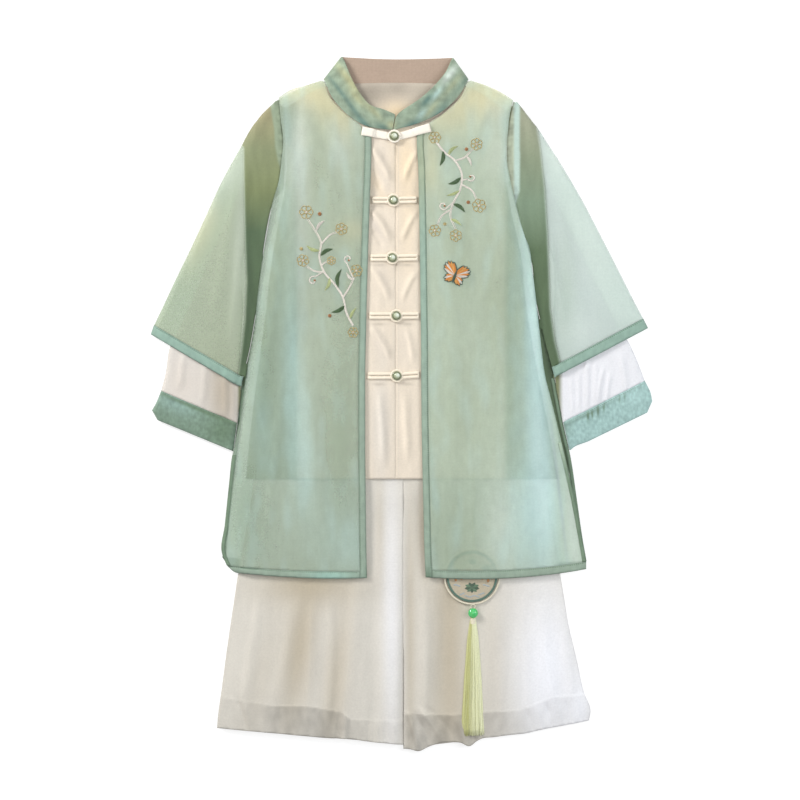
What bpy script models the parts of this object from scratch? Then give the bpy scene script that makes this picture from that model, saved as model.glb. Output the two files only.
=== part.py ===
"""Child's hanfu set laid flat: an open over-robe of sheer cloth with bound edges, a white shirt
inside it, wide-leg trousers inside both, and a waist charm on a cord.

The set lies on its back. X is across the set (+X is the wearer's left), +Y points to the collar,
+Z is up from the surface. Outline tables and heights are in millimetres, measured from the middle
of the set's outline and from the surface; add_mesh turns them into metres.
"""
import math

import bmesh
import bpy
from mathutils import Vector

MM = 0.001

# Cloth and the stack of layers, in millimetres
WALL = 1.0                # one layer of cloth
LAYER_GAP = 0.4           # air between two layers that lie on each other
LAYER = WALL + LAYER_GAP
SEAM_GAP = 0.3            # between the edges of two pieces that are sewn together
BINDING_WALL = 1.2        # folded binding on the front edges and hems
SIDE_BINDING_WALL = 0.8   # narrow binding laid on the side slits
FRONT_BINDING = 8.0       # width of the front edge bindings
SIDE_BINDING = 4.5        # width of the side slit bindings

SHOULDER = 378.0          # y from which the fronts stand off the shoulder seam, over the shirt
ARMHOLE_END = 232.0       # y where the robe's side seams start below the sleeves
ROBE_CLIMB = (290.0, 235.0)    # y where the robe's fronts climb over the trousers' waistband
SHIRT_CLIMB = (232.0, 216.0)   # y where the shirt's fronts do
WAISTBAND = (190.5, 213.0)     # y of its lower and upper edge
WAISTBAND_HALF = 130.0
SHIRT_HEM = -92.0
ROBE_HEM = -214.0
SLIT_TOP = -42.0          # y where the bindings of the fronts' side edges start
BACK_SLIT_TOP = 32.0      # y where the bindings of the back's side edges start
BINDING_CLEAR = 10.0      # the fronts start to rise this far above those bindings
STEP_RUN = 26.0           # length over which a layer comes down past a hem
SHOULDER_RUN = 14.0       # length over which the fronts rise below the shoulder seam
ARMHOLE_RUN = 28.0        # length over which their side seams come down below the sleeves
SEAM_RUN = 16.0           # length over which the side seams rise over a binding or at the hem
HEM_CORNER_TOP = -180.0   # y where the hem's side corners start to rise
ROBE_ROLL = 18.0          # width over which the robe fronts come down to their side seams
SHIRT_ROLL = 9.0
HEM_CORNER_LIFT = 1.8     # the hem's side corners lie on the trousers
LEG_ROLL = 11.0
LEG_INNER_ROLL = 4.0      # width over which a leg's front comes down to its inner seam
CROTCH = -60.0            # y where the inner seams start
CROTCH_RUN = 60.0
LEG_FULLNESS = 1.6        # how far the legs' fronts swell at the hem

# Where the sections of the panels run
ROBE_ROWS = 34.0          # largest distance between two sections of a robe front
SHIRT_ROWS = 25.0
LEG_ROWS = 50.0
BACK_ROWS = 60.0
BACK_COUNT = 6            # spans across a back
ROBE_STEPS = (0.0, 6.0, 12.0, 18.0)      # distances from the side seam over the rolled edge
SHIRT_STEPS = (0.0, 3.0, 6.0, 9.0)
LEG_STEPS = (0.0, 4.0, 8.0, 12.0)
ROBE_COUNT = 7            # even spans from there to the middle edge
SHIRT_COUNT = 3
LEG_COUNT = 8
LEG_SEAM_STEP = 5.0       # the last span of a leg's front, over its inner seam
LEG_BACK_COUNT = 3
FULL_ROLL = 60.0          # a panel narrower than this has its first steps scaled down
STRIP_NEAR = 0.2          # a side binding starts this far inside its panel's edge
INSIDE = 100.0            # a distance from the edge at which no panel rolls down

# Outlines. Each row is one section, from the side of the piece to its middle edge:
# side_x, side_y, middle_x, middle_y, bow (how far the middle of the section stands above its chord)
ROBE_FRONT_RIGHT = (
    (-96.5, 387, -92, 384, 0),
    (-114.5, 381, -87, 369, 0),
    (-134, 375, -77, 356, 0),
    (-147.5, 366, -63, 343, 0),
    (-146, 351, -49, 332.5, 0),
    (-144.5, 336.5, -36, 326, 0),
    (-142, 315, -36, 305.5, 0),
    (-144, 291, -36.5, 281.5, 0),
    (-147, 267, -37.5, 255, 0),
    (-155.5, 237, -38.5, 226, 0),
    (-160, 207, -39.5, 197.5, 0),
    (-167.5, 171, -40.5, 164, 0),
    (-172, 135, -41.5, 130, 0),
    (-177, 87, -42.5, 84.5, 0),
    (-185.5, 39, -43.5, 38, 0),
    (-194, -21, -43.5, -21, 0),
    (-203, -63, -43.5, -63, 0),
    (-207, -99, -43, -100, 0),
    (-212, -147, -42.5, -149.5, 0),
    (-215.5, -180.5, -42, -186.5, 0),
    (-209.5, -196, -41.5, -203, -2.5),
    (-198.5, -204, -41.5, -210.5, -3),
)
ROBE_FRONT_LEFT = (
    (83.5, 387, 79, 384, 0),
    (101.5, 381, 72.5, 369, 0),
    (119.5, 372.5, 61, 356, 0),
    (134, 363, 46.5, 344, 0),
    (130, 345, 33, 335, 0),
    (128, 327, 18.5, 326, 0),
    (126.5, 309, 18.5, 306.5, 0),
    (126.5, 291, 20, 285, 0),
    (130, 269.5, 20.5, 261, 0),
    (136, 243, 21, 236, 0),
    (144.5, 213, 21.5, 207, 0),
    (154, 183, 22, 178, 0),
    (160, 135, 22.5, 132.5, 0),
    (164, 99, 23, 96.5, 0),
    (168, 63, 23.5, 63, 0),
    (172, 33, 23.5, 33, 0),
    (185.5, -21, 24, -21, 0),
    (198.5, -75, 25, -75, 0),
    (208, -117, 26, -117, 0),
    (216.5, -162.5, 27, -165, 0),
    (221.5, -191.5, 28.5, -201, -5),
    (221.5, -200, 29, -209.5, -6),
)
NECK_ROWS = 5             # rows of the robe fronts that end on the neckline

# Back pieces: right_x, right_y, left_x, left_y, bow
ROBE_BACK = (
    (-94, 386.5, 81, 386.5, -6),
    (-120.5, 378.5, 107.5, 378, -5),
    (-147, 365.5, 134, 363, -2.5),
    (-144.5, 336.5, 129, 334, 0),
    (-142, 312.5, 126.5, 308, 0),
    (-145, 281.5, 127, 284, 0),
    (-147, 267, 130, 267, 0),
    (-155.5, 237, 137.5, 236, 0),
    (-167.5, 171, 155.0, 176, 0),
    (-174.5, 111, 162.5, 117, 0),
    (-182.5, 63, 174, 69, 0),
    (-192.5, 20, 184, 29.5, 0),
    (-197.5, -26, 194, -23.5, 0),
    (-203, -66.5, 203.5, -66.5, 0),
    (-208.5, -117, 211, -117, 0),
    (-213.5, -165, 218, -165, 0),
    (-215.5, -187, 222.5, -191, -6),
    (-203, -201, 221.5, -199.5, -7),
)
SHIRT_BACK = (
    (-82, 375, 69, 375, 2.5),
    (-110, 366.5, 96.5, 366, 0),
    (-138.5, 354.5, 124.5, 352, 0),
    (-138.5, 333, 123, 333, 0),
    (-137.5, 303, 122, 303, 0),
    (-140.5, 252.5, 127, 257.5, 0),
    (-146, 225, 132.5, 225, 0),
    (-155.5, 171, 143.5, 177, 0),
    (-162.5, 111, 150.5, 111, 0),
    (-172, 39, 162.5, 39, 0),
    (-180.5, -27, 176, -27, 0),
    (-186.5, SHIRT_HEM, 188, SHIRT_HEM, 0),
)
SHIRT_FRONT_RIGHT = (
    (-92, 370, -84, 365, 0),
    (-110, 366.5, -74, 358, 0),
    (-138.5, 354.5, -59.5, 345, 0),
    (-138.5, 344, -40, 336.5, 0),
    (-138.5, 333, -7, 332.5, 0),
    (-137.5, 303, -7, 300.5, 0),
    (-140.5, 252.5, -7, 251.5, 0),
    (-146, 225, -7, 225, 0),
    (-148, 215, -7, 215, 0),
    (-155.5, 171, -7, 171, 0),
    (-162.5, 111, -7, 111, 0),
    (-172, 39, -7, 39, 0),
    (-180.5, -27, -7, -27, 0),
    (-186.5, SHIRT_HEM, -7, SHIRT_HEM, 0),
)
SHIRT_FRONT_LEFT = (
    (79, 370, 71, 365, 0),
    (96.5, 366, 60.5, 358, 0),
    (124.5, 352, 46, 345, 0),
    (124, 342.5, 27, 336.5, 0),
    (123, 333, -6.5, 332.5, 0),
    (122, 303, -6.5, 300.5, 0),
    (127, 257.5, -6.5, 252.5, 0),
    (132.5, 225, -6.5, 225, 0),
    (135, 215, -6.5, 215, 0),
    (143.5, 177, -6.5, 176, 0),
    (150.5, 111, -6.5, 111, 0),
    (162.5, 39, -6.5, 39, 0),
    (176, -27, -6.5, -27, 0),
    (188, SHIRT_HEM, -6.5, SHIRT_HEM, 0),
)
LEG_RIGHT = (
    (-130, 190, 0.8, 190, 0),
    (-140, 135, 0.8, 135, 0),
    (-152, 69, 0.8, 69, 0),
    (-162.5, -16, 0.8, -16, 0),
    (-177, -93, 0.8, -93, 0),
    (-184.5, -141, 0.8, -141, 0),
    (-197, -210.5, 0.8, -210.5, 0),
    (-204.5, -261, 0.8, -261, 0),
    (-210.5, -303, 0.8, -303, 0),
    (-216, -345, 0.8, -347.5, 0),
    (-220.5, -378.5, 0.8, -390.5, 0),
    (-221.5, -391, 0.8, -411, 0),
)
LEG_LEFT = (
    (130, 190, 2.2, 190, 0),
    (139, 135, 2.2, 135, 0),
    (148, 69, 2.2, 69, 0),
    (160, -16, 2.2, -16, 0),
    (173.5, -93, 2.2, -93, 0),
    (183, -153, 2.2, -153, 0),
    (191.5, -210.5, 2.2, -210.5, 0),
    (200, -263.5, 2.2, -263.5, 0),
    (210.5, -309, 2.2, -309, 0),
    (219, -347.5, 2.2, -350, 0),
    (227, -371.5, 2.2, -393, -2.5),
    (225, -382, 2.6, -416, -2.5),
)

# Sleeves: outer_x, outer_y, inner_x, inner_y, crease (where the standing crease runs, as a
# fraction from the underarm edge to the outer fold), under, over (heights of the upper layer's
# outer face at the underarm edge and beyond the crease)
ROBE_SLEEVE_RIGHT = (
    (-150.5, 363, -148.3, 360.5, 0.5, 5.2, 5.2),
    (-174.5, 338, -144.3, 317.5, 0.86, 5.2, 5.4),
    (-195, 304, -147.2, 276.5, 0.8, 5.2, 6.0),
    (-215.5, 267, -157.2, 233.5, 0.55, 5.2, 7.0),
    (-234.5, 226, -165.5, 185.5, 0.33, 4.2, 7.6),
    (-254, 184, -172.3, 137.5, 0.16, 2.6, 8.0),
    (-272, 147, -178.0, 93, 0.1, 2.6, 8.0),
    (-286, 117, -184.2, 58, 0.07, 2.6, 7.6),
    (-297.5, 93, -190.5, 30.5, 0.06, 5.4, 7.0),
)
ROBE_SLEEVE_RIGHT_HEM = (
    (-297.9, 92.5, -190.7, 30, 0.06, 6.0, 7.4),
    (-301.5, 82, -193.2, 18.5, 0.06, 6.0, 7.4),
)
ROBE_SLEEVE_LEFT = (
    (138.5, 361.5, 135.5, 358, 0.5, 5.2, 5.2),
    (156.5, 339, 130.8, 324.5, 0.86, 5.2, 5.4),
    (178, 308, 129.5, 282.5, 0.76, 5.2, 6.0),
    (200, 273, 137.5, 243, 0.48, 5.2, 7.0),
    (222.5, 233.5, 150.9, 196, 0.27, 4.2, 7.6),
    (232.5, 214.3, 155.5, 175.5, 0.21, 3.4, 7.8),
    (243, 194, 159.0, 150.5, 0.16, 2.6, 8.0),
    (262, 156.5, 165.2, 107.5, 0.12, 2.6, 8.0),
    (279, 123, 174.4, 69, 0.09, 2.6, 7.6),
    (290.5, 101, 181.1, 42.5, 0.07, 5.4, 7.0),
)
ROBE_SLEEVE_LEFT_HEM = (
    (290.9, 100.3, 181.3, 42, 0.07, 6.0, 7.4),
    (296.5, 89.5, 184.2, 30.5, 0.07, 6.0, 7.4),
)
# The shirt's sleeves and cuffs: outer_x, outer_y, inner_x, inner_y, under (height of the lower
# layer's outer face), over (height of the upper layer's outer face)
SHIRT_SLEEVE_RIGHT = (
    (-147, 358, -139.5, 354.5, 1.4, 3.8),
    (-162.5, 329.5, -139.5, 309, 1.4, 3.8),
    (-183, 281.5, -141.8, 256, 1.4, 3.8),
    (-204.5, 231, -174, 219, 1.4, 3.8),
    (-224, 188, -191, 170, 1.4, 3.8),
    (-246.5, 135, -191, 108.5, 1.4, 3.8),
    (-266, 92, -194, 56, 1.4, 4.2),
    (-279, 64, -193.6, 15.5, 1.6, 4.6),
    (-283, 38, -195.7, -4, 0.3, 4.8),
    (-289, 14, -197.8, -24.5, 0.0, 4.8),
)
CUFF_RIGHT = (
    (-289.2, 13.3, -197.9, -25.2, 0.0, 5.2),
    (-295, -0.5, -199.6, -38, 0.0, 5.6),
    (-300, -9.5, -201.3, -50, 0.0, 5.4),
    (-293.5, -21.0, -202.5, -58.5, 0.0, 5.0),
)
SHIRT_SLEEVE_LEFT = (
    (134, 357, 126, 352, 1.4, 3.8),
    (148, 329.5, 124.5, 308, 1.4, 3.8),
    (167.5, 284, 128.8, 260, 1.4, 3.8),
    (189, 236, 160, 221, 1.4, 3.8),
    (209.5, 195, 181, 176, 1.4, 3.8),
    (234.5, 142, 183, 108.5, 1.4, 3.8),
    (258.5, 95.5, 185, 60.5, 1.4, 4.2),
    (272, 74, 185.6, 26, 1.6, 4.6),
    (284, 48.5, 189.9, 0.5, 0.3, 4.8),
    (292.5, 26, 194.5, -23.5, 0.0, 4.8),
)
CUFF_LEFT = (
    (292.9, 25.3, 194.7, -24.2, 0.0, 5.2),
    (299.5, 11.5, 197.7, -38, 0.0, 5.6),
    (301.5, 1.5, 200.2, -49.5, 0.0, 5.4),
    (295.5, -12.0, 202.2, -57.5, 0.0, 5.0),
)
CUFF_WALL = 1.3
FOLD_START = 0.97         # where a robe sleeve's outer fold starts, as a fraction of its width
FOLD_HEIGHT = 5.2
CREASE_RISE = 1.2         # how far the standing crease rises over the sleeve's upper layer
TURN_WIDTH = 1.8          # width of the turn at either edge of a flattened tube
TURN_SHARE = 0.18         # and at most this fraction of its width

# The stand collar, once round from the right end at the centre front: seam_x, seam_y, top_x,
# top_y, seam_z, top_z. The heights are those of the collar's outer face, which faces up on the
# front half and down on the back half.
COLLAR = (
    (-10.8, 327, -7.4, 345.5, 7.6, 9.6),
    (-29.5, 328.5, -24, 353, 7.6, 9.8),
    (-48.5, 333, -36.5, 354.5, 7.4, 9.8),
    (-65.5, 345, -47.5, 366.5, 7.2, 9.6),
    (-80, 360.5, -58, 384.5, 6.8, 9.2),
    (-88, 374, -64, 398.5, 6.2, 8.0),
    (-91, 385, -69, 412, 5.0, 6.2),
    (-94, 388.5, -72.5, 416, 2.6, 3.1),
    (-90.0, 388.9, -68.5, 415.5, 0.0, 0.0),
    (-74, 385.5, -59.5, 415, 0.0, 0.0),
    (-44, 382.2, -36.5, 413.5, 0.0, 0.0),
    (-6.5, 381.0, -3, 412.5, 0.0, 0.0),
    (34, 382.3, 30.5, 413.5, 0.0, 0.0),
    (62, 385.5, 50, 414, 0.0, 0.0),
    (76.5, 388.7, 58, 415, 0.0, 0.0),
    (81, 388.5, 62.5, 414.5, 2.6, 3.1),
    (78, 385, 59, 410, 5.0, 6.2),
    (74, 375, 55, 398.5, 6.2, 8.0),
    (65.5, 364, 46, 387, 6.8, 9.2),
    (53.5, 352, 34, 374, 7.2, 9.6),
    (36.5, 341.5, 20, 362.5, 7.4, 9.8),
    (16, 333, 6.5, 354, 7.6, 9.8),
    (-9.8, 327, -6.4, 345.5, 7.6, 9.6),
)
COLLAR_WALL = 1.4
COLLAR_BULGE = 0.6        # how far its outer face swells where it stands
COLLAR_STANDS = 3.0       # height of the seam above which it stands

# Folds of the cloth: x_top, y_top, x_bottom, y_bottom, height, half_width
LEG_FOLDS = (
    (-14, -80, -14, -410, 5.0, 13),
    (-48, -150, -62, -400, 3.0, 14),
    (-92, -190, -112, -390, 2.8, 17),
    (-150, -190, -176, -385, 2.4, 20),
    (26, -90, 26, -405, 3.2, 13),
    (98, -170, 122, -385, 2.6, 20),
    (150, -190, 180, -370, 2.2, 18),
)
LEG_FOLD_START = -96.0
LEG_FOLD_HALF = -205.0
LEG_FOLD_FULL = -330.0
ROBE_FOLDS = (
    (-128, 330, -132, 80, 1.8, 20),
    (-120, 60, -98, -190, 2.0, 24),
    (160, 210, 168, -60, 1.4, 16),
    (150, -40, 160, -190, 2.0, 26),
    (70, 250, 60, -150, 1.2, 22),
)

# Frogs: button_x, button_y, then the outer ends of its straps: right_x, right_y, left_x, left_y
FROGS = (
    (-8.7, 319.5, -47.5, 326.0, 34.5, 330.0),
    (-9.6, 243.0, -35.5, 243.0, 18.5, 243.5),
    (-11.0, 173.5, -37.0, 173.5, 19.5, 174.0),
    (-6.2, 104.0, -38.5, 104.0, 20.5, 104.0),
    (-5.6, 32.0, -40.5, 32.0, 21.0, 33.5),
)
STRAP_WIDTH = 11.5
STRAP_WALL = 1.6
BUTTON_RADIUS = 6.0
BUTTON_THICK = 5.0

# Waist charm
CHARM_X = 84.6
CHARM_Y = -209.0
DISC_RADIUS = 31.0
DISC_WALL = 1.8
RIM_RADIUS = 1.3
CORD_DIAMETER = 1.6
CORD_POINTS = 24
CORD_SHIFT = 1.6          # the cord's middle line lies this far beside the disc's middle
CORD_SWAY = 1.4           # and sways this far to either side
CORD_WAVES = 1.3
CORD_CLEAR = 0.35
CORD_TOP_Y = SHIRT_HEM - 0.5
CORD_TOP_Z = 4.0 * LAYER + 0.5 * WALL
BEAD_Y = -252.6
BEAD_RADIUS = 6.0
BEAD_FLATNESS = 0.7
BEAD_CLEAR = 0.5
BEAD_SHIFT = 1.2          # the bead and the tassel hang this far beside the disc's middle
TASSEL_Y = (-258.9, -266.0, -282.0, -330.0, -398.5)
TASSEL_HALF = (3.0, 4.2, 6.6, 10.5, 15.0)
TASSEL_THICK = 4.0
TASSEL_SIDES = 10
CHARM_LIFT = 1.8          # how far the robe front swells over the disc
CHARM_REACH = 46.0


def ease(t):
    """Smooth step from 0 to 1."""
    t = min(max(t, 0.0), 1.0)
    return t * t * (3.0 - 2.0 * t)


def below(y, start, run):
    """0 above start, 1 from run below it."""
    return ease((start - y) / run)


def fold_height(folds, x, y):
    """Height of soft ridges that run along straight lines and fade out at their ends."""
    height = 0.0
    for x_top, y_top, x_bottom, y_bottom, rise, half_width in folds:
        along = (y_top - y) / (y_top - y_bottom)
        across = (x - x_top - along * (x_bottom - x_top)) / half_width
        ends = ease(along / 0.25) * ease((1.15 - along) / 0.25)
        height += rise * ends * math.exp(-across * across)
    return height


def leg_fold_height(x, y):
    """The trousers' folds grow from the shirt's hem to the trousers' hem."""
    half = ease((LEG_FOLD_START - y) / (LEG_FOLD_START - LEG_FOLD_HALF))
    full = ease((LEG_FOLD_HALF - y) / (LEG_FOLD_HALF - LEG_FOLD_FULL))
    return (0.4 * half + 0.6 * full) * fold_height(LEG_FOLDS, x, y)


def trousers_back_height(x, y, inward):
    """The trousers' back lies on the robe's and shirt's backs, and on the surface below them."""
    layers = 2.0 - below(y, SHIRT_HEM - 2.0, STEP_RUN) - below(y, ROBE_HEM, STEP_RUN)
    return LAYER * layers


def trousers_front_height(x, y, inward):
    """The trousers' front, rolled down to the side seam, with its folds and a soft fullness."""
    full = LEG_FULLNESS * ease((LEG_FOLD_HALF - y) / (LEG_FOLD_HALF - LEG_FOLD_FULL))
    edge = ease(inward / LEG_ROLL)
    return trousers_back_height(x, y, inward) + LAYER + edge * (full + leg_fold_height(x, y))


def shirt_back_height(x, y, inward):
    return LAYER


def shirt_front_height(x, y, inward):
    """The shirt's front lies on its back, and below the chest on the trousers inside it."""
    climb = 2.0 * LAYER * below(y, SHIRT_CLIMB[0], SHIRT_CLIMB[0] - SHIRT_CLIMB[1])
    return 2.0 * LAYER + climb * ease(inward / SHIRT_ROLL)


def robe_back_height(x, y, inward):
    return 0.0


def robe_front_height(x, y, inward):
    """The robe's fronts lie on all the rest and roll down to the side seams and the slits."""
    chest = 3.0 * LAYER
    climb = 2.0 * LAYER * below(y, ROBE_CLIMB[0], ROBE_CLIMB[0] - ROBE_CLIMB[1])
    shoulder = ease((SHOULDER - y) / SHOULDER_RUN)
    seam = LAYER + (chest - LAYER) * shoulder * (1.0 - below(y, ARMHOLE_END, ARMHOLE_RUN))
    binding_start = BACK_SLIT_TOP + BINDING_CLEAR
    seam += (SIDE_BINDING_WALL + LAYER_GAP) * below(y, binding_start, SEAM_RUN)
    seam += HEM_CORNER_LIFT * below(y, HEM_CORNER_TOP, SEAM_RUN)
    rise = ease(inward / ROBE_ROLL)
    charm = math.exp(-((x - CHARM_X) ** 2 + (y - CHARM_Y) ** 2) / CHARM_REACH ** 2)
    lift = fold_height(ROBE_FOLDS, x, y) + CHARM_LIFT * charm
    return seam + rise * (chest + climb - seam + lift)


def material(name, colour, roughness, metallic=0.0):
    """A Principled material, made once for each name."""
    made = bpy.data.materials.get(name)
    if made is None:
        made = bpy.data.materials.new(name)
        made.use_nodes = True
        shader = made.node_tree.nodes["Principled BSDF"]
        shader.inputs["Base Color"].default_value = (*colour, 1.0)
        shader.inputs["Roughness"].default_value = roughness
        shader.inputs["Metallic"].default_value = metallic
    return made


def add_mesh(name, points, faces, finish, collection):
    """Make an object from points in millimetres."""
    mesh = bpy.data.meshes.new(name)
    mesh.from_pydata([Vector(point) * MM for point in points], [], faces)
    mesh.validate()
    mesh.update()
    mesh.shade_smooth()
    mesh.materials.append(finish)
    made = bpy.data.objects.new(name, mesh)
    collection.objects.link(made)
    return made


def thicken(made, wall, side):
    """Give an open surface its wall, along its normals (side 1) or against them (side -1)."""
    solid = made.modifiers.new("Wall", "SOLIDIFY")
    solid.thickness = wall * MM
    solid.offset = side
    solid.use_rim = True


def add_grid(name, grid, finish, collection, wall, side, closed=False):
    """A surface through rows of points, with a wall. The faces turn to +Z where rows run down
    the set and points run from -X to +X."""
    columns = len(grid[0])
    points = [point for row in grid for point in row]
    faces = []
    last = columns if closed else columns - 1
    for row in range(len(grid) - 1):
        for column in range(last):
            a = row * columns + column
            b = row * columns + (column + 1) % columns
            faces.append((a, a + columns, b + columns, b))
    made = add_mesh(name, points, faces, finish, collection)
    thicken(made, wall, side)
    return made


def refined(rows, spacing):
    """Add rows halfway between rows that are further apart than spacing."""
    result = [rows[0]]
    for upper, lower in zip(rows, rows[1:]):
        if upper[1] - lower[1] > spacing:
            result.append(tuple((a + b) / 2.0 for a, b in zip(upper, lower)))
        result.append(lower)
    return result


def section_point(row, inward):
    """A point on a section, inward millimetres from its side end."""
    side_x, side_y, middle_x, middle_y, bow = row
    width = math.hypot(middle_x - side_x, middle_y - side_y)
    u = inward / width
    x = side_x + u * (middle_x - side_x)
    y = side_y + u * (middle_y - side_y) + 4.0 * bow * u * (1.0 - u)
    return x, y


def section_width(row):
    return math.hypot(row[2] - row[0], row[3] - row[1])


def side_steps(width, inset, steps, count):
    """Distances from the side: close ones over the rolled edge, then even ones."""
    scale = min(1.0, width / FULL_ROLL)
    near = [step * scale for step in steps]
    far = width - inset
    even = [near[-1] + (far - near[-1]) * (i + 1) / count for i in range(count)]
    return near + even


def add_panel(name, rows, insets, steps, count, height, finish, collection,
              wall=WALL, both_sides=False, lift=0.0):
    """A panel of cloth through its sections, on the given height function.

    insets holds, for each row, how far the panel ends short of its middle edge. A panel with
    both_sides spans from one side seam to the other and rolls down at both.
    """
    grid = []
    for row, inset in zip(rows, insets):
        width = section_width(row)
        if both_sides:
            distances = [width * i / count for i in range(count + 1)]
        else:
            distances = side_steps(width, inset, steps, count)
        line = []
        for inward in distances:
            x, y = section_point(row, inward)
            edge = min(inward, width - inward) if both_sides else inward
            line.append((x, y, height(x, y, edge) + lift))
        if line[0][0] > line[-1][0]:
            line.reverse()
        grid.append(line)
    return add_grid(name, grid, finish, collection, wall, 1)


def add_strip(name, rows, near, far, height, finish, collection, wall, lift=0.0, middle=False):
    """A narrow strip along the side or the middle edge of a panel, from its own sections."""
    grid = []
    for row in rows:
        width = section_width(row)
        line = []
        for inward in (near, 0.5 * (near + far), far):
            inward = width - inward if middle else inward
            x, y = section_point(row, inward)
            line.append((x, y, height(x, y, inward) + lift))
        if line[0][0] > line[-1][0]:
            line.reverse()
        grid.append(line)
    return add_grid(name, grid, finish, collection, wall, 1)


def robe_front(side, rows, cloth, binding, collection):
    """One front of the robe, its edge binding, its hem and the binding of its side slit."""
    body = refined(rows[:-1], ROBE_ROWS)
    neck = sum(1 for row in body if row[1] > rows[NECK_ROWS][1] + 1.0)
    short = FRONT_BINDING + SEAM_GAP
    insets = [0.0 if i < neck else short for i in range(len(body))]
    panel_rows = body[:-1] + [hem_gap(body[-1])]
    add_panel(f"robe_front_{side}", panel_rows, insets, ROBE_STEPS, ROBE_COUNT,
              robe_front_height, cloth, collection)
    edge_rows = body[neck:-1] + [rows[-2], rows[-1]]
    add_strip(f"robe_front_edge_{side}", edge_rows, FRONT_BINDING, 0.0, robe_front_height,
              binding, collection, BINDING_WALL, middle=True)
    add_panel(f"robe_front_hem_{side}", rows[-2:], (short, short), ROBE_STEPS, ROBE_COUNT,
              robe_front_height, binding, collection, wall=BINDING_WALL)
    slit_rows = [row for row in body[:-1] if row[1] < SLIT_TOP] + [hem_gap(body[-1])]
    add_strip(f"robe_slit_binding_{side}", slit_rows, STRIP_NEAR, SIDE_BINDING, robe_front_height,
              binding, collection, SIDE_BINDING_WALL, lift=WALL + SEAM_GAP)


def hem_gap(row):
    """The last row of a panel, a seam's width above the hem band that follows it."""
    side_x, side_y, middle_x, middle_y, bow = row
    gap = SEAM_GAP + STRIP_NEAR
    return (side_x, side_y + gap, middle_x, middle_y + gap, bow)


def robe_back(cloth, binding, collection):
    """The robe's back, its hem and the bindings of its side slits."""
    body = refined(ROBE_BACK[:-1], BACK_ROWS)
    body[-1] = hem_gap(body[-1])
    add_panel("robe_back", body, [0.0] * len(body), (), BACK_COUNT, robe_back_height, cloth, collection,
              both_sides=True)
    add_panel("robe_back_hem", ROBE_BACK[-2:], (0.0, 0.0), (), BACK_COUNT, robe_back_height, binding,
              collection, both_sides=True)
    slit_rows = [row for row in body if row[1] < BACK_SLIT_TOP]
    for side, middle in (("right", False), ("left", True)):
        add_strip(f"robe_back_slit_binding_{side}", slit_rows, STRIP_NEAR, SIDE_BINDING,
                  robe_back_height, binding, collection, SIDE_BINDING_WALL,
                  lift=WALL + SEAM_GAP, middle=middle)


def robe_sleeve_line(row):
    """Outer face of a robe sleeve's section: along the surface from the underarm seam to the
    outer fold, and back over the standing crease to the seam."""
    outer_x, outer_y, inner_x, inner_y, crease, under, over = row

    def at(fraction, z, out=0.0):
        x = inner_x + (fraction + out) * (outer_x - inner_x)
        y = inner_y + (fraction + out) * (outer_y - inner_y)
        return (x, y, z)

    lower = [at(0.0, 0.0), at(0.5, 0.0), at(FOLD_START, 0.0)]
    fold = [at(1.0, 0.5 * FOLD_HEIGHT)]
    beyond = 1.0 - crease
    upper = [
        at(FOLD_START, FOLD_HEIGHT),
        at(crease + 0.7 * beyond, 0.5 * (over + FOLD_HEIGHT) + 0.3),
        at(crease + 0.4 * beyond, over),
        at(crease + 0.15 * beyond, over + 0.67 * CREASE_RISE),
        at(crease, over + CREASE_RISE),
        at(0.72 * crease, 0.5 * (over + under)),
        at(0.4 * crease, under + 0.2),
        at(0.0, under),
    ]
    return lower + fold + upper


def flat_tube_line(row):
    """Outer face of a flattened tube's section, once round from the inner edge."""
    outer_x, outer_y, inner_x, inner_y, under, over = row
    middle = 0.5 * (under + over)

    def at(fraction, z):
        x = inner_x + fraction * (outer_x - inner_x)
        y = inner_y + fraction * (outer_y - inner_y)
        return (x, y, z)

    width = math.hypot(outer_x - inner_x, outer_y - inner_y)
    turn = min(TURN_SHARE, TURN_WIDTH / width)
    return [
        at(0.0, middle), at(turn, under), at(0.5, under), at(1.0 - turn, under),
        at(1.0, middle), at(1.0 - turn, over), at(0.75, over), at(0.5, over), at(0.25, over),
        at(turn, over),
    ]


def add_sleeve(name, rows, line, finish, collection, wall, mirrored, closed=False):
    """A sleeve or cuff: sections of its outer face, with the wall inside."""
    grid = [line(row) for row in rows]
    if mirrored:
        grid.reverse()
    return add_grid(name, grid, finish, collection, wall, -1, closed=closed)


def sleeves(cloth, binding, shirt, cuff, collection):
    """Both sleeves of the robe and of the shirt, with their hems and cuffs."""
    robe = (("right", ROBE_SLEEVE_RIGHT, ROBE_SLEEVE_RIGHT_HEM, False),
            ("left", ROBE_SLEEVE_LEFT, ROBE_SLEEVE_LEFT_HEM, True))
    for side, rows, hem, mirrored in robe:
        add_sleeve(f"robe_sleeve_{side}", rows, robe_sleeve_line, cloth, collection, WALL,
                   mirrored)
        add_sleeve(f"robe_sleeve_hem_{side}", hem, robe_sleeve_line, binding, collection,
                   BINDING_WALL, mirrored)
    inner = (("right", SHIRT_SLEEVE_RIGHT, CUFF_RIGHT, False),
             ("left", SHIRT_SLEEVE_LEFT, CUFF_LEFT, True))
    for side, rows, ends, mirrored in inner:
        add_sleeve(f"shirt_sleeve_{side}", rows, flat_tube_line, shirt, collection, WALL,
                   mirrored, closed=True)
        add_sleeve(f"shirt_cuff_{side}", ends, flat_tube_line, cuff, collection, CUFF_WALL,
                   mirrored, closed=True)


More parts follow.
